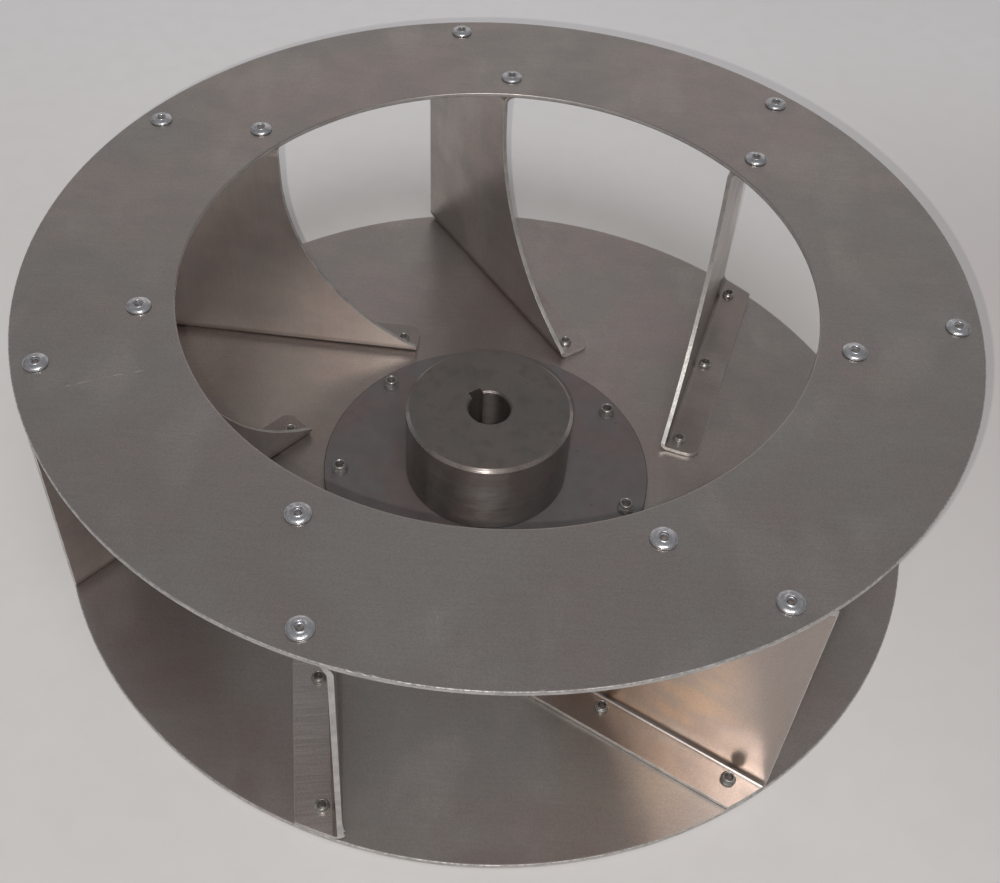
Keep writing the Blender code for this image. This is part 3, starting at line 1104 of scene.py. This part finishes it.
@dataclass
class Blade:
    """One folded blade, standing on the back plate along a line beside the axis."""

    number: int
    face: bpy.types.Material
    edges: list[bpy.types.Material]
    end_burr: float = 0.0
    section: BladeSection = field(default_factory=BladeSection)
    first_angle: float = math.radians(124.4)
    root: float = 0.044
    corner: float = 0.005
    edge_top: float = 0.105
    edge_radius: float = 0.1095
    edge_level: float = 0.1062
    rim_bottom: float = 0.18975
    rim_top: float = 0.18725
    set_back: float = 0.0022
    columns: int = 56
    edge_share: float = 0.004
    arc_rows: int = 64
    upright_rows: int = 6
    burr_height: float = 16 * MILLIMETRE
    rounding: float = 0.45 * MILLIMETRE
    ragged: float = 0.04 * MILLIMETRE
    pattern_step: float = 0.3
    pattern_side: float = 0.11

    def leading_edge(self, offset: np.ndarray, height: np.ndarray) -> np.ndarray:
        """Returns how far out the blade begins at each row.

        The lower part begins at the root, with the flange's corner rounded. Above it the edge
        is a hollow round arc, which ends upright under the inlet's rim.

        Args:
            offset: Each row's distance beside the axis.
            height: Each row's height.

        Returns:
            Distances along the blade from the point nearest the axis.
        """
        centre = self.edge_top - self.edge_radius
        below = np.clip(height - self.edge_level, -self.edge_radius, 0.0)
        arc = centre + np.sqrt(self.edge_radius**2 - below**2)
        start = np.maximum(arc, self.root)
        corner_start = self.section.offset + self.section.flange - self.corner
        past = np.clip(offset - corner_start, 0.0, self.corner)
        rounded = self.corner - np.sqrt(self.corner**2 - past**2)
        low = height < self.edge_level / 2
        return start + np.where(low, rounded, 0.0)

    def rim(self, offset: np.ndarray, height: np.ndarray, bottom: float, top: float) -> np.ndarray:
        """Returns how far out the blade ends at each row.

        That is on a slightly tapered round rim, and the upper flange ends a little inside it.

        Args:
            offset: Each row's distance beside the axis.
            height: Each row's height.
            bottom: The height of the blade's underside.
            top: The height of its upper side.

        Returns:
            Distances along the blade from the point nearest the axis.
        """
        share = (height - bottom) / (top - bottom)
        radius = self.rim_bottom + (self.rim_top - self.rim_bottom) * share
        past_bend = np.clip((offset - self.section.offset) / self.section.bend, 0.0, 1.0)
        radius = radius - np.where(share > 0.5, self.set_back * past_bend, 0.0)
        return np.sqrt(radius**2 - offset**2)

    def web_rows(self, bottom: float, top: float) -> np.ndarray:
        """Returns the web's row heights, at equal turns of the leading edge's arc.

        Args:
            bottom: The height of the blade's underside.
            top: The height of its upper side.

        Returns:
            The heights from the lower bend to the upper one, neither included.
        """
        low, high = bottom + self.section.bend, top - self.section.bend
        centre = self.edge_top - self.edge_radius
        first = -math.acos((self.root - centre) / self.edge_radius)
        turn = np.linspace(first, 0.0, self.arc_rows)
        arc = self.edge_level + self.edge_radius * np.sin(turn)
        above = np.linspace(self.edge_level, high, self.upright_rows + 2)[1:-1]
        return np.concatenate([arc[arc > low + MILLIMETRE / 5], above])

    def ends(self, bottom: float, top: float) -> tuple[np.ndarray, np.ndarray]:
        """Returns where each row begins and ends, worked out at the middle of the sheet.

        Args:
            bottom: The height of the blade's underside.
            top: The height of its upper side.

        Returns:
            The distances along the blade of each row's two ends, each a little ragged.
        """
        section = self.section.skin(SHEET / 2, bottom, top, self.web_rows(bottom, top))
        offset, height = section[:, 0], section[:, 1]
        rows = len(offset)
        worn = self.ragged * rough_line(rows, (rows // 3, rows), 40 * self.number + 1)
        start = self.leading_edge(offset, height) + worn
        worn = self.ragged * np.abs(rough_line(rows, (rows // 3, rows), 40 * self.number + 2))
        return start, self.rim(offset, height, bottom, top) - worn

    def skin_points(self, depth: float, bottom: float, top: float) -> tuple[np.ndarray, np.ndarray]:
        """Returns one side of the folded sheet on a grid of section rows by columns outwards.

        A point's distance along the blade runs evenly from the leading edge to the rim, its
        distance beside the axis and its height come from the section. A blade with a burr on its
        end has the last columns of its web pushed outwards near the back plate.

        Args:
            depth: How far into the sheet the side lies.
            bottom: The height of the blade's underside.
            top: The height of its upper side.

        Returns:
            The points in the blade's own frame, and their places on the unrolled sheet, at a
            depth of the patterns that no other side of a blade has.
        """
        section = self.section.skin(depth, bottom, top, self.web_rows(bottom, top))
        offset, height, unrolled = section.T
        start, end = self.ends(bottom, top)
        share = np.linspace(0.0, 1.0, self.columns)
        share[1], share[-2] = self.edge_share, 1.0 - self.edge_share
        along = start[:, None] + (end - start)[:, None] * share
        shape = along.shape
        beside = np.broadcast_to(-offset[:, None], shape).copy()
        rise = np.broadcast_to(height[:, None], shape)
        if self.end_burr and not depth:
            rows = len(offset)
            above = (height - bottom) / self.burr_height
            bell = np.clip(above * 4, 0.0, 1.0) * np.clip(1.6 * (1.0 - above), 0.0, 1.0)
            rough = 0.75 + 0.35 * rough_line(rows, (rows, rows), 9)
            beside[:, -1] += self.end_burr * bell * rough
            beside[:, -2] += 0.6 * self.end_burr * bell * rough
        points = np.stack([along, beside, rise], axis=-1)
        side = self.pattern_step * self.number + (self.pattern_side if depth else 0.0)
        up_sheet = np.broadcast_to(unrolled[:, None], shape)
        flat = np.stack([along, up_sheet, np.full(shape, side)], axis=-1)
        return points, flat

    def shape(self) -> Shape:
        """Joins the two sides of the folded sheet by a strip round their shared outline.

        Returns:
            The blade's shape, turned to its place round the axis.
        """
        low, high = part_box("blade_%d" % self.number)
        outer, outer_flat = self.skin_points(0.0, low.z, high.z)
        inner, inner_flat = self.skin_points(SHEET, low.z, high.z)
        rows, columns = outer.shape[:2]
        numbers = np.arange(rows * columns).reshape(rows, columns)
        loop = np.concatenate([numbers[0, :-1], numbers[:-1, -1], numbers[-1, :0:-1], numbers[:0:-1, 0]])
        after = np.roll(loop, -1)
        shift = rows * columns
        face_quads = grid_quads(rows, columns, False, False)
        back_quads = face_quads[:, ::-1] + shift
        strip = np.stack([after, loop, loop + shift, after + shift], axis=1)
        quads = np.concatenate([face_quads, back_quads, strip])
        skins = np.full(len(quads), Skin.FACE.value)
        skins[-len(strip):] = Skin.CUT.value
        points = np.concatenate([outer.reshape(-1, 3), inner.reshape(-1, 3)])
        flat = np.concatenate([outer_flat.reshape(-1, 3), inner_flat.reshape(-1, 3)])
        turn = self.first_angle + (self.number - 1) * FULL_TURN / BLADE_COUNT
        turned = np.array(Matrix.Rotation(turn, 3, "Z"))
        return Shape(points @ turned.T, quads, skins, flat)

    def dress(self) -> None:
        """Builds the blade, eases its cut edges and puts it on the rotor."""
        name = "folded_blade_%d" % self.number
        piece = self.shape().build(name, [self.face, *self.edges], math.radians(40))
        bevel = piece.modifiers.new("eased_edges", "BEVEL")
        bevel.width = self.rounding
        bevel.segments = 2
        bevel.limit_method = "ANGLE"
        bevel.angle_limit = math.radians(60)
        bevel.material = Skin.EASED.value
        attach(piece, ["blade_%d" % self.number])


@dataclass
class HubPlate:
    """The thick round steel plate under the boss, its edges eased."""

    easing: float = 0.4 * MILLIMETRE
    steps: int = 240

    def dress(self, finishes: list[bpy.types.Material]) -> None:
        """Carries the plate's section, a bar with chamfered corners, round the axis.

        Args:
            finishes: The materials, in the order of Skin.
        """
        low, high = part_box("hub_plate")
        ease, inner, outer = self.easing, SPIGOT_RADIUS, high.x
        rows = [
            (inner, high.z), (inner + ease, high.z), (outer - 3 * ease, high.z),
            (outer - ease, high.z), (outer, high.z - ease), (outer, low.z + ease),
            (outer - ease, low.z), (outer - 3 * ease, low.z),
            (inner + ease, low.z), (inner, low.z),
        ]
        skins = np.full(len(rows), Skin.FACE.value)
        # The rim's rows take the second finish, a darker copy of the steel that paints shade round the rim.
        skins[3:6] = Skin.CUT.value
        shape = turned_shape(rows, skins, even_turns(self.steps))
        piece = shape.build("round_hub_plate", finishes, math.radians(30))
        attach(piece, ["hub_plate"])


@dataclass
class HubBoss:
    """The turned boss, with its spigot, its bore and the keyway along the bore."""

    bore: float = 0.0095
    key_half_width: float = 0.003
    key_reach: float = 0.0123
    key_angle: float = math.radians(127.0)
    chamfer: float = 1.5 * MILLIMETRE
    bore_chamfer: float = 0.8 * MILLIMETRE
    key_chamfer: float = 0.24 * MILLIMETRE
    easing: float = 0.25 * MILLIMETRE
    bed_steps: int = 8
    wall_steps: int = 4
    steps: int = 240

    def turns(self) -> np.ndarray:
        """Returns the angles of the columns, measured from the keyway's middle.

        Returns:
            Angles in radians: the keyway's floor, one wall, the rest of the bore, the other wall.
        """
        floor = math.atan(self.key_half_width / self.key_reach)
        mouth = math.asin(self.key_half_width / self.bore)
        wall = np.linspace(floor, mouth, self.wall_steps + 1)
        bed = np.linspace(-floor, floor, self.bed_steps + 1)
        rest = np.linspace(mouth, FULL_TURN - mouth, self.steps)
        return np.concatenate([bed, wall[1:], rest[1:-1], FULL_TURN - wall[:0:-1]])

    def bore_outline(self, relative: np.ndarray) -> np.ndarray:
        """Returns the bore's radius at each angle from the keyway's middle.

        Within the keyway it is the reach over the cosine, on its floor, or the half width over
        the sine, on its walls, whichever is less. Elsewhere it is the bore's radius.

        Args:
            relative: The angles in radians.

        Returns:
            The radii in metres.
        """
        near = np.abs((relative + math.pi) % FULL_TURN - math.pi)
        safe = np.clip(near, 1e-6, QUARTER_TURN - 1e-6)
        notch = np.minimum(self.key_reach / np.cos(safe), self.key_half_width / np.sin(safe))
        return np.maximum(np.where(near < QUARTER_TURN, notch, 0.0), self.bore)

    def dress(self, finishes: list[bpy.types.Material]) -> None:
        """Carries the boss's section round the axis, with the bore's side following the keyway.

        Args:
            finishes: The materials, in the order of Skin.
        """
        low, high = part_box("hub_boss")
        plate_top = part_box("hub_plate")[1].z
        outer, rim, ease = high.x, self.chamfer, self.easing
        relative = self.turns()
        hole = self.bore_outline(relative)
        mouth = np.where(hole > self.bore + MILLIMETRE / 10, self.key_chamfer, self.bore_chamfer)
        rows = [
            (outer - rim - 2 * ease, high.z), (outer - rim, high.z),
            (outer, high.z - rim), (outer, high.z - rim - 2 * ease),
            (outer, plate_top + 2 * ease), (outer - 2 * ease, plate_top),
            (SPIGOT_RADIUS, plate_top), (SPIGOT_RADIUS, low.z),
            (hole + mouth, low.z), (hole, low.z + mouth), (hole, high.z - mouth - 2 * ease),
            (hole, high.z - mouth), (hole + mouth, high.z), (hole + mouth + 2 * ease, high.z),
        ]
        skins = np.full(len(rows), Skin.CUT.value)
        skins[[0, -2, -1]] = Skin.FACE.value
        skins[[1, -4]] = Skin.EASED.value
        shape = turned_shape(rows, skins, relative + self.key_angle)
        piece = shape.build("turned_hub_boss", finishes, math.radians(25))
        attach(piece, ["hub_boss"])


@dataclass(frozen=True)
class BlindRivet:
    """The sizes of one kind of blind rivet."""

    shank: float
    head: float
    grip: float
    bulge: float
    mouth: float
    head_height: float = 1.4 * MILLIMETRE
    head_rim: float = 0.2 * MILLIMETRE
    bore: float = 1.8 * MILLIMETRE
    lip: float = 0.26 * MILLIMETRE

    def head_profile(self) -> tuple[np.ndarray, np.ndarray]:
        """Returns the head's section, from the axis outwards, its seat at zero.

        The mandrel's broken end stands in the bore. A small round lip runs round the bore's
        mouth, and from it a quarter of an ellipse falls to the head's thin rim.

        Returns:
            The (radius, height) points, and the finish of the stretch after each one.
        """
        top, bore, lip = self.head_height, self.bore, self.lip
        stub = 0.58 * top
        mandrel = np.array([
            (0.0, stub + 0.14 * MILLIMETRE), (0.42 * bore, stub + 0.12 * MILLIMETRE), (0.68 * bore, stub),
            (0.76 * bore, 0.22 * top), (bore, 0.20 * top),
        ])
        mouth = arc_points((bore + lip, top - lip), lip, math.pi, 0.30 * QUARTER_TURN, 7)
        shoulder_radius, shoulder_height = mouth[-1]
        turn = np.linspace(0.12, QUARTER_TURN, 11)[1:]
        fall = shoulder_height - self.head_rim
        dome = np.stack([
            shoulder_radius + (self.head - shoulder_radius) * np.sin(turn),
            self.head_rim + fall * np.cos(turn),
        ], axis=1)
        outline = np.concatenate([mandrel, mouth, dome])
        skins = np.full(len(outline), Skin.FACE.value)
        skins[:3] = Skin.CUT.value
        return outline, skins

    def tail_profile(self, length: float) -> tuple[np.ndarray, np.ndarray]:
        """Returns the rest of the section, from the head's rim down to the axis at the tail's end.

        Past the grip the shank bulges where the mandrel spread it, and then narrows to an open
        tube, whose wall is a rounded ring. The mandrel's head fills the tube's lower part.

        Args:
            length: The whole length below the head.

        Returns:
            The (radius, height) points, and the finish of the stretch after each one.
        """
        tail = length - self.grip
        ring = (self.mouth + self.shank) / 2
        half_wall = (self.shank - self.mouth) / 2
        swell = np.linspace(0.0, 1.0, 9)
        bulge = self.shank + (self.bulge - self.shank) * np.sin(math.pi * (0.18 + 0.82 * swell)) ** 0.8
        barrel = np.stack([bulge, -self.grip - 0.72 * tail * swell], axis=1)
        end = arc_points((ring, half_wall - length), half_wall, 0.0, -math.pi, 6)
        inside = np.array([(1.0, 0.45), (0.93, 0.45), (0.80, 0.36), (0.35, 0.30), (0.0, 0.29)])
        inside = inside * (self.mouth, tail) - (0.0, length)
        shank = np.array([
            (self.head, 0.0), (self.shank, 0.0), (self.shank, 0.1 * MILLIMETRE - self.grip)
        ])
        outline = np.concatenate([shank, barrel, end, inside])
        skins = np.full(len(outline), Skin.EASED.value)
        # The inside takes the fourth finish, whose darker steel paints the shade down in the tube.
        skins[-len(inside):] = Skin.INSIDE.value
        return outline, skins


@dataclass
class RivetRow:
    """A row of alike blind rivets, joined as one piece."""

    name: str
    nodes: list[str]
    facing: Facing
    kind: BlindRivet
    seed: int
    steps: int = 30
    wobble: float = 0.012
    lean: float = 0.02

    def dress(self, finishes: list[bpy.types.Material]) -> None:
        """Turns the section once for each rivet, each a little uneven and turned at random.

        Below its grip a rivet's radius is multiplied by an uneven factor for each row, and its
        axis leans aside in proportion to the depth.

        Args:
            finishes: The materials, in the order of Skin.
        """
        rng = np.random.default_rng(self.seed)
        boxes = [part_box(node) for node in self.nodes]
        centres = np.array([(low + high) / 2 for low, high in boxes])
        low, high = boxes[0]
        kind = self.kind
        head, head_skins = kind.head_profile()
        tail, tail_skins = kind.tail_profile((high.z - low.z) - kind.head_height)
        outline = np.concatenate([head, tail])
        skins = np.concatenate([head_skins, tail_skins])[:-1]
        one = turned_points(outline, even_turns(self.steps))
        count, rows, columns = len(self.nodes), *one.shape[:2]
        turn = rng.uniform(0.0, FULL_TURN, count)
        uneven = 1.0 + self.wobble * rng.normal(size=(count, rows, 1)) * (one[..., 2] < -kind.grip)
        lean = rng.normal(0.0, self.lean, (count, 2))
        x = one[..., 0] * uneven
        y = one[..., 1] * uneven
        z = np.broadcast_to(one[..., 2], x.shape)
        below = np.minimum(z + kind.grip, 0.0)
        cos, sin = np.cos(turn)[:, None, None], np.sin(turn)[:, None, None]
        side_x = x * cos - y * sin + below * lean[:, :1, None]
        side_y = x * sin + y * cos + below * lean[:, 1:, None]
        sign = self.facing.value
        seat = high.z - kind.head_height if self.facing is Facing.UP else low.z + kind.head_height
        placed = np.stack([
            centres[:, 0, None, None] + side_x,
            centres[:, 1, None, None] + sign * side_y,
            seat + sign * z,
        ], axis=-1)
        quads = grid_quads(rows, columns, False, True)
        every = (quads[None] + rows * columns * np.arange(count)[:, None, None]).reshape(-1, 4)
        faces = np.tile(np.repeat(skins, columns), count)
        shape = Shape(placed.reshape(-1, 3), every, faces)
        piece = shape.build(self.name, finishes, math.radians(50))
        close_poles(piece.data)
        attach(piece, self.nodes)


def close_poles(mesh: bpy.types.Mesh) -> None:
    """Merges the points that meet at a turned shape's poles, so that it is closed there.

    Args:
        mesh: The mesh, which is changed.
    """
    merged = bmesh.new()
    merged.from_mesh(mesh)
    bmesh.ops.remove_doubles(merged, verts=merged.verts, dist=1e-7)
    bmesh.ops.dissolve_degenerate(merged, edges=merged.edges, dist=1e-8)
    merged.to_mesh(mesh)
    merged.free()


@dataclass(frozen=True)
class PhotoCamera:
    """The camera, at the photograph's place and angle, and with its crop."""

    place: Point = (-0.0024, -0.3801, 0.4549)
    yaw: float = -0.0300
    pitch: float = 0.8602
    roll: float = 0.0359
    focal_pixels: float = 1261.0
    centre_pixels: Span = (456.4, 457.6)
    picture: tuple[int, int] = (1000, 883)
    sensor: float = 36.0

    def build(self) -> None:
        """Makes the camera from its place and its right, up and backward directions."""
        data = bpy.data.cameras.new("photo_camera")
        data.sensor_fit = "HORIZONTAL"
        data.sensor_width = self.sensor
        wide, high = self.picture
        data.lens = self.sensor * self.focal_pixels / wide
        data.shift_x = 0.5 - self.centre_pixels[0] / wide
        data.shift_y = (self.centre_pixels[1] - high / 2) / wide
        data.clip_start = 0.01
        data.clip_end = 50.0
        flat = math.cos(self.pitch)
        forward = Vector((math.sin(self.yaw) * flat, math.cos(self.yaw) * flat, -math.sin(self.pitch)))
        level = Vector((math.cos(self.yaw), -math.sin(self.yaw), 0.0))
        lift = level.cross(forward)
        right = math.cos(self.roll) * level + math.sin(self.roll) * lift
        up = math.cos(self.roll) * lift - math.sin(self.roll) * level
        matrix = Matrix((right, up, -forward)).transposed().to_4x4()
        matrix.translation = self.place
        camera = added("photo_camera", data)
        camera.matrix_world = matrix
        bpy.context.scene.camera = camera


@dataclass(frozen=True)
class Lamp:
    """A round light that faces the rotor's middle; an even one doesn't fade with distance."""

    name: str
    place: Point
    size: float
    power: float
    colour: Colour
    even: bool = False
    target: Point = (0.0, 0.0, 0.06)

    def hang(self) -> None:
        """Makes the light at its place."""
        data = bpy.data.lights.new(self.name, "AREA")
        data.shape = "DISK"
        data.size = self.size
        data.energy = self.power
        data.color = self.colour
        if self.even:
            data.use_nodes = True
            wiring = Wiring(data.node_tree)
            steady = wiring.node("LightFalloff", {"Strength": 1.0}).outputs["Constant"]
            wiring.link(steady, data.node_tree.nodes["Emission"], "Strength")
        aim = Vector(self.target) - Vector(self.place)
        turn = aim.to_track_quat("-Z", "Y").to_matrix().to_4x4()
        added(self.name, data).matrix_world = Matrix.Translation(self.place) @ turn


@dataclass(frozen=True)
class Studio:
    """A pale floor under a dim soft room, a broad soft light and two small lamps."""

    floor_colour: Colour = (0.80, 0.785, 0.775)
    # The colours of the painted shade to one side of the floor and the painted light beyond the rotor.
    floor_painted_shade: Colour = (0.63, 0.60, 0.59)
    floor_painted_light: Colour = (0.87, 0.865, 0.885)
    floor_mark: Point = (0.82, 0.80, 0.79)
    floor_roughness: float = 0.7
    floor_glow: float = 0.10
    floor_radius: float = 9.0
    floor_steps: int = 64
    painted_shade_fade: Span = (0.06, 0.36)
    painted_light_fade: Span = (0.12, 0.42)
    zenith: Colour = (0.165, 0.165, 0.168)
    shoulder: Colour = (0.50, 0.466, 0.461)
    sides: Colour = (0.09, 0.09, 0.095)
    viewer: Colour = (0.07, 0.065, 0.065)
    backdrop: Colour = (0.50, 0.485, 0.48)
    sides_fade: Span = (0.25, 0.70)
    zenith_fade: Span = (0.40, 0.80)
    behind_fade: Span = (-0.45, 0.10)
    viewer_fade_up: Span = (0.45, 0.70)
    viewer_fade_away: Span = (-0.55, -0.15)
    backdrop_fade: Span = (0.06, 0.24)
    lamps: tuple[Lamp, ...] = (
        Lamp("flash_by_the_lens", (-0.0125, -0.3871, 0.4486), 0.004, 2.35, (1.0, 0.955, 0.905), True),
        Lamp("far_lamp", (-0.17, -1.00, 1.22), 0.080, 0.25, (1.0, 0.85, 0.70)),
        Lamp("broad_soft_light", (0.30, -1.25, 3.15), 1.7, 27.0, (0.98, 0.99, 1.0)),
    )

    def floor_tone(self, wiring: Wiring) -> Socket:
        """Returns the floor's colour: painted shade to one side, painted light beyond the rotor, faintly
        marked.

        Args:
            wiring: Where the nodes go.

        Returns:
            The colour's socket.
        """
        place = wiring.place()
        # Painted shade: the floor greyer towards one side, with random grey clouds as well.
        aside = wiring.spread(wiring.along(place, (1.0, 0.3, 0.0)), *self.painted_shade_fade)
        cloud = wiring.spread(wiring.noise(place, 5.0, 3.0), 0.3, 0.7, 0.0, 0.12)
        grey = wiring.math("MAXIMUM", aside, cloud)
        colour = wiring.mixed(grey, self.floor_colour, self.floor_painted_shade)
        # Painted light: the floor paler and cooler beyond the rotor.
        beyond = wiring.spread(wiring.part(place, 1), *self.painted_light_fade, 0.0, 0.75)
        colour = wiring.mixed(beyond, colour, self.floor_painted_light)
        marks = wiring.spread(wiring.noise(place, 70.0, 6.0), 0.35, 0.75, 0.0, 0.10)
        return wiring.mixed(marks, colour, tinted(self.floor_colour, self.floor_mark))

    def floor(self) -> None:
        """Makes the round floor, one flat face level with the rivet heads' undersides."""
        ring = turned_points([(self.floor_radius, 0.0)], even_turns(self.floor_steps))[0]
        mesh = bpy.data.meshes.new("floor")
        mesh.from_pydata(ring.tolist(), [], [list(range(self.floor_steps))])
        material, wiring, shader = node_material("pale_floor")
        colour = self.floor_tone(wiring)
        wiring.link(colour, shader, "Base Color")
        wiring.link(colour, shader, "Emission Color")
        shader.inputs["Roughness"].default_value = self.floor_roughness
        shader.inputs["Emission Strength"].default_value = self.floor_glow
        mesh.materials.append(material)
        added("floor", mesh)

    def world(self) -> None:
        """Makes the room's dim light and the plain backdrop.

        The room is darker overhead, at its two sides, and low down where the viewer stands. All
        round, close to the floor, it is as pale as the backdrop.
        """
        world = bpy.data.worlds.new("soft_room")
        bpy.context.scene.world = world
        world.use_nodes = True
        wiring = Wiring(world.node_tree)
        background = world.node_tree.nodes["Background"]
        direction = wiring.node("TexCoord").outputs["Generated"]
        across, away, up = (wiring.part(direction, axis) for axis in range(3))
        sideways = wiring.spread(wiring.math("ABSOLUTE", across), *self.sides_fade)
        room = wiring.mixed(sideways, self.shoulder, self.sides)
        high = wiring.spread(up, *self.zenith_fade)
        overhead = wiring.times(high, wiring.spread(away, *self.behind_fade))
        room = wiring.mixed(overhead, room, self.zenith)
        low = wiring.spread(up, *self.viewer_fade_up, 1.0, 0.0)
        near = wiring.spread(away, *self.viewer_fade_away, 1.0, 0.0)
        room = wiring.mixed(wiring.times(low, near), room, self.viewer)
        level = wiring.spread(up, *self.backdrop_fade, 1.0, 0.0)
        room = wiring.mixed(level, room, self.backdrop)
        seen = wiring.node("LightPath").outputs["Is Camera Ray"]
        wiring.link(wiring.mixed(seen, room, self.backdrop), background, "Color")

    def build(self) -> None:
        """Makes the floor, the room and the lamps."""
        self.floor()
        self.world()
        for lamp in self.lamps:
            lamp.hang()
        bpy.context.scene.view_settings.view_transform = "Standard"


def numbered(stem: str) -> list[str]:
    """Returns the names of a set of nodes with one for each blade."""
    return ["%s_%d" % (stem, number) for number in range(1, BLADE_COUNT + 1)]


def build_sheets() -> None:
    """Builds the two discs and the seven blades."""
    edges = [ShearedEdge().material(), BurnishedEdge().material()]
    worn = BurnishedEdge("worn_aluminium_corner", (0.64, 0.62, 0.605), 0.50)
    rims = [edges[0], worn.material()]
    scratch = LongScratch((-0.1529, -0.0732), (-0.1266, -0.0625))
    back = MillSheet("back_plate_mill_sheet", (0.61, 0.56, 0.535), 0.33)
    shroud = MillSheet("shroud_mill_sheet", (0.55, 0.51, 0.485), 0.36, scratch=scratch)
    blade_colour = (0.555, 0.50, 0.47)
    crosswise = (900.0, 45.0, 1.0)
    # Every blade's sheet carries painted shade along its lower fold.
    plain = MillSheet(
        "blade_mill_sheet", blade_colour, 0.30, lines=crosswise, duskiness=0.9, haze=1.22, fold=0.0176
    )
    # Blade 3 takes a darker copy of the blade sheet: painted shade over the whole blade.
    shaded_blade_colour = tinted(blade_colour, (0.85, 0.87, 0.89))
    dusky = replace(plain, name="painted_shade_blade_mill_sheet", colour=shaded_blade_colour)
    ground = replace(plain, name="ground_blade_mill_sheet", ground_width=0.0142)
    # Blade 5's sheet carries a painted warm reflection of the lamp on its web.
    glowing = replace(plain, name="painted_glow_blade_mill_sheet", painted_glow=0.9)
    rim_burrs = (
        Burr(math.radians(-100.0), math.radians(5.0), 0.4 * MILLIMETRE),
        Burr(math.radians(-84.0), math.radians(0.6), 0.5 * MILLIMETRE),
        Burr(math.radians(-70.5), math.radians(0.5), 0.4 * MILLIMETRE),
        Burr(math.radians(-145.5), math.radians(0.8), 0.4 * MILLIMETRE),
    )
    discs = [
        SheetDisc("round_back_plate", "back_plate", "back_sheet", back, SPIGOT_RADIUS, 2.0, seed=11),
        SheetDisc(
            "round_shroud", "shroud_ring", "shroud_sheet", shroud, INLET_RADIUS, 4.0, rim_burrs,
            steps=1500, seed=23,
        ),
    ]
    for disc in discs:
        disc.dress(rims)
    usual = plain.material()
    faces = {3: dusky.material(), 4: ground.material(), 5: glowing.material()}
    end_burrs = {4: 0.9 * MILLIMETRE}
    for number in range(1, BLADE_COUNT + 1):
        Blade(number, faces.get(number, usual), edges, end_burrs.get(number, 0.0)).dress()


def build_hub() -> None:
    """Builds the hub plate, with painted shade round its rim, and the boss, faced, turned and chamfered."""
    plate = PlateSteel()
    # A darker copy of the plate's steel for its rim: painted shade round the rim.
    rim = PlateSteel("hub_plate_rim_painted_shade", tinted(plate.colour, (0.62, 0.58, 0.57)))
    HubPlate().dress([plate.material(), rim.material()])
    faced = TurnedSteel("faced_steel", (0.188, 0.175, 0.167), 0.42, 0.5)
    turned = TurnedSteel(
        "turned_steel", (0.29, 0.268, 0.257), 0.31, 0.85, hooping=1.0,
        groove=0.18 * MILLIMETRE, ring_pitch=0.22 * MILLIMETRE,
    )
    chamfered = TurnedSteel(
        "chamfered_steel", (0.40, 0.38, 0.37), 0.22, 0.8, groove=0.03 * MILLIMETRE
    )
    HubBoss().dress([faced.material(), turned.material(), chamfered.material()])


def build_rivets() -> None:
    """Builds the six rows of blind rivets."""
    # A darker copy of the zinc, with darker blotches, for the rivets' tails.
    tail = ZincPlate("darker_tail_zinc", (0.60, 0.60, 0.585), 0.28, stain=(0.34, 0.335, 0.32))
    # A darker copy of the mandrel steel for the tails' insides: painted shade down in the tube.
    hollow = MandrelSteel("mandrel_steel_painted_shade", (0.24, 0.22, 0.21))
    finishes = [metal.material() for metal in (ZincPlate(), MandrelSteel(), tail, hollow)]
    thin = BlindRivet(shank=0.0023, head=0.00475, grip=0.0046, bulge=0.0030, mouth=0.00175)
    thick = BlindRivet(shank=0.0029, head=0.0052, grip=0.0076, bulge=0.0036, mouth=0.00205)
    rows = [
        RivetRow("shroud_rivets_inner", numbered("shroud_rivet_inner"), Facing.UP, thin, 101),
        RivetRow("shroud_rivets_outer", numbered("shroud_rivet_outer"), Facing.UP, thin, 102),
        RivetRow("plate_rivets_inner", numbered("plate_rivet_inner"), Facing.DOWN, thin, 103),
        RivetRow("plate_rivets_middle", numbered("plate_rivet_middle"), Facing.DOWN, thin, 104),
        RivetRow("plate_rivets_outer", numbered("plate_rivet_outer"), Facing.DOWN, thin, 105),
        RivetRow("hub_rivets", numbered("hub_rivet"), Facing.DOWN, thick, 106),
    ]
    for row in rows:
        row.dress(finishes)


def main() -> None:
    """Loads the frame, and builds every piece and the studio."""
    logging.basicConfig(level=logging.INFO, format="%(name)s: %(message)s")
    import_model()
    build_sheets()
    build_hub()
    build_rivets()
    PhotoCamera().build()
    Studio().build()


if __name__ == "__main__":
    main()
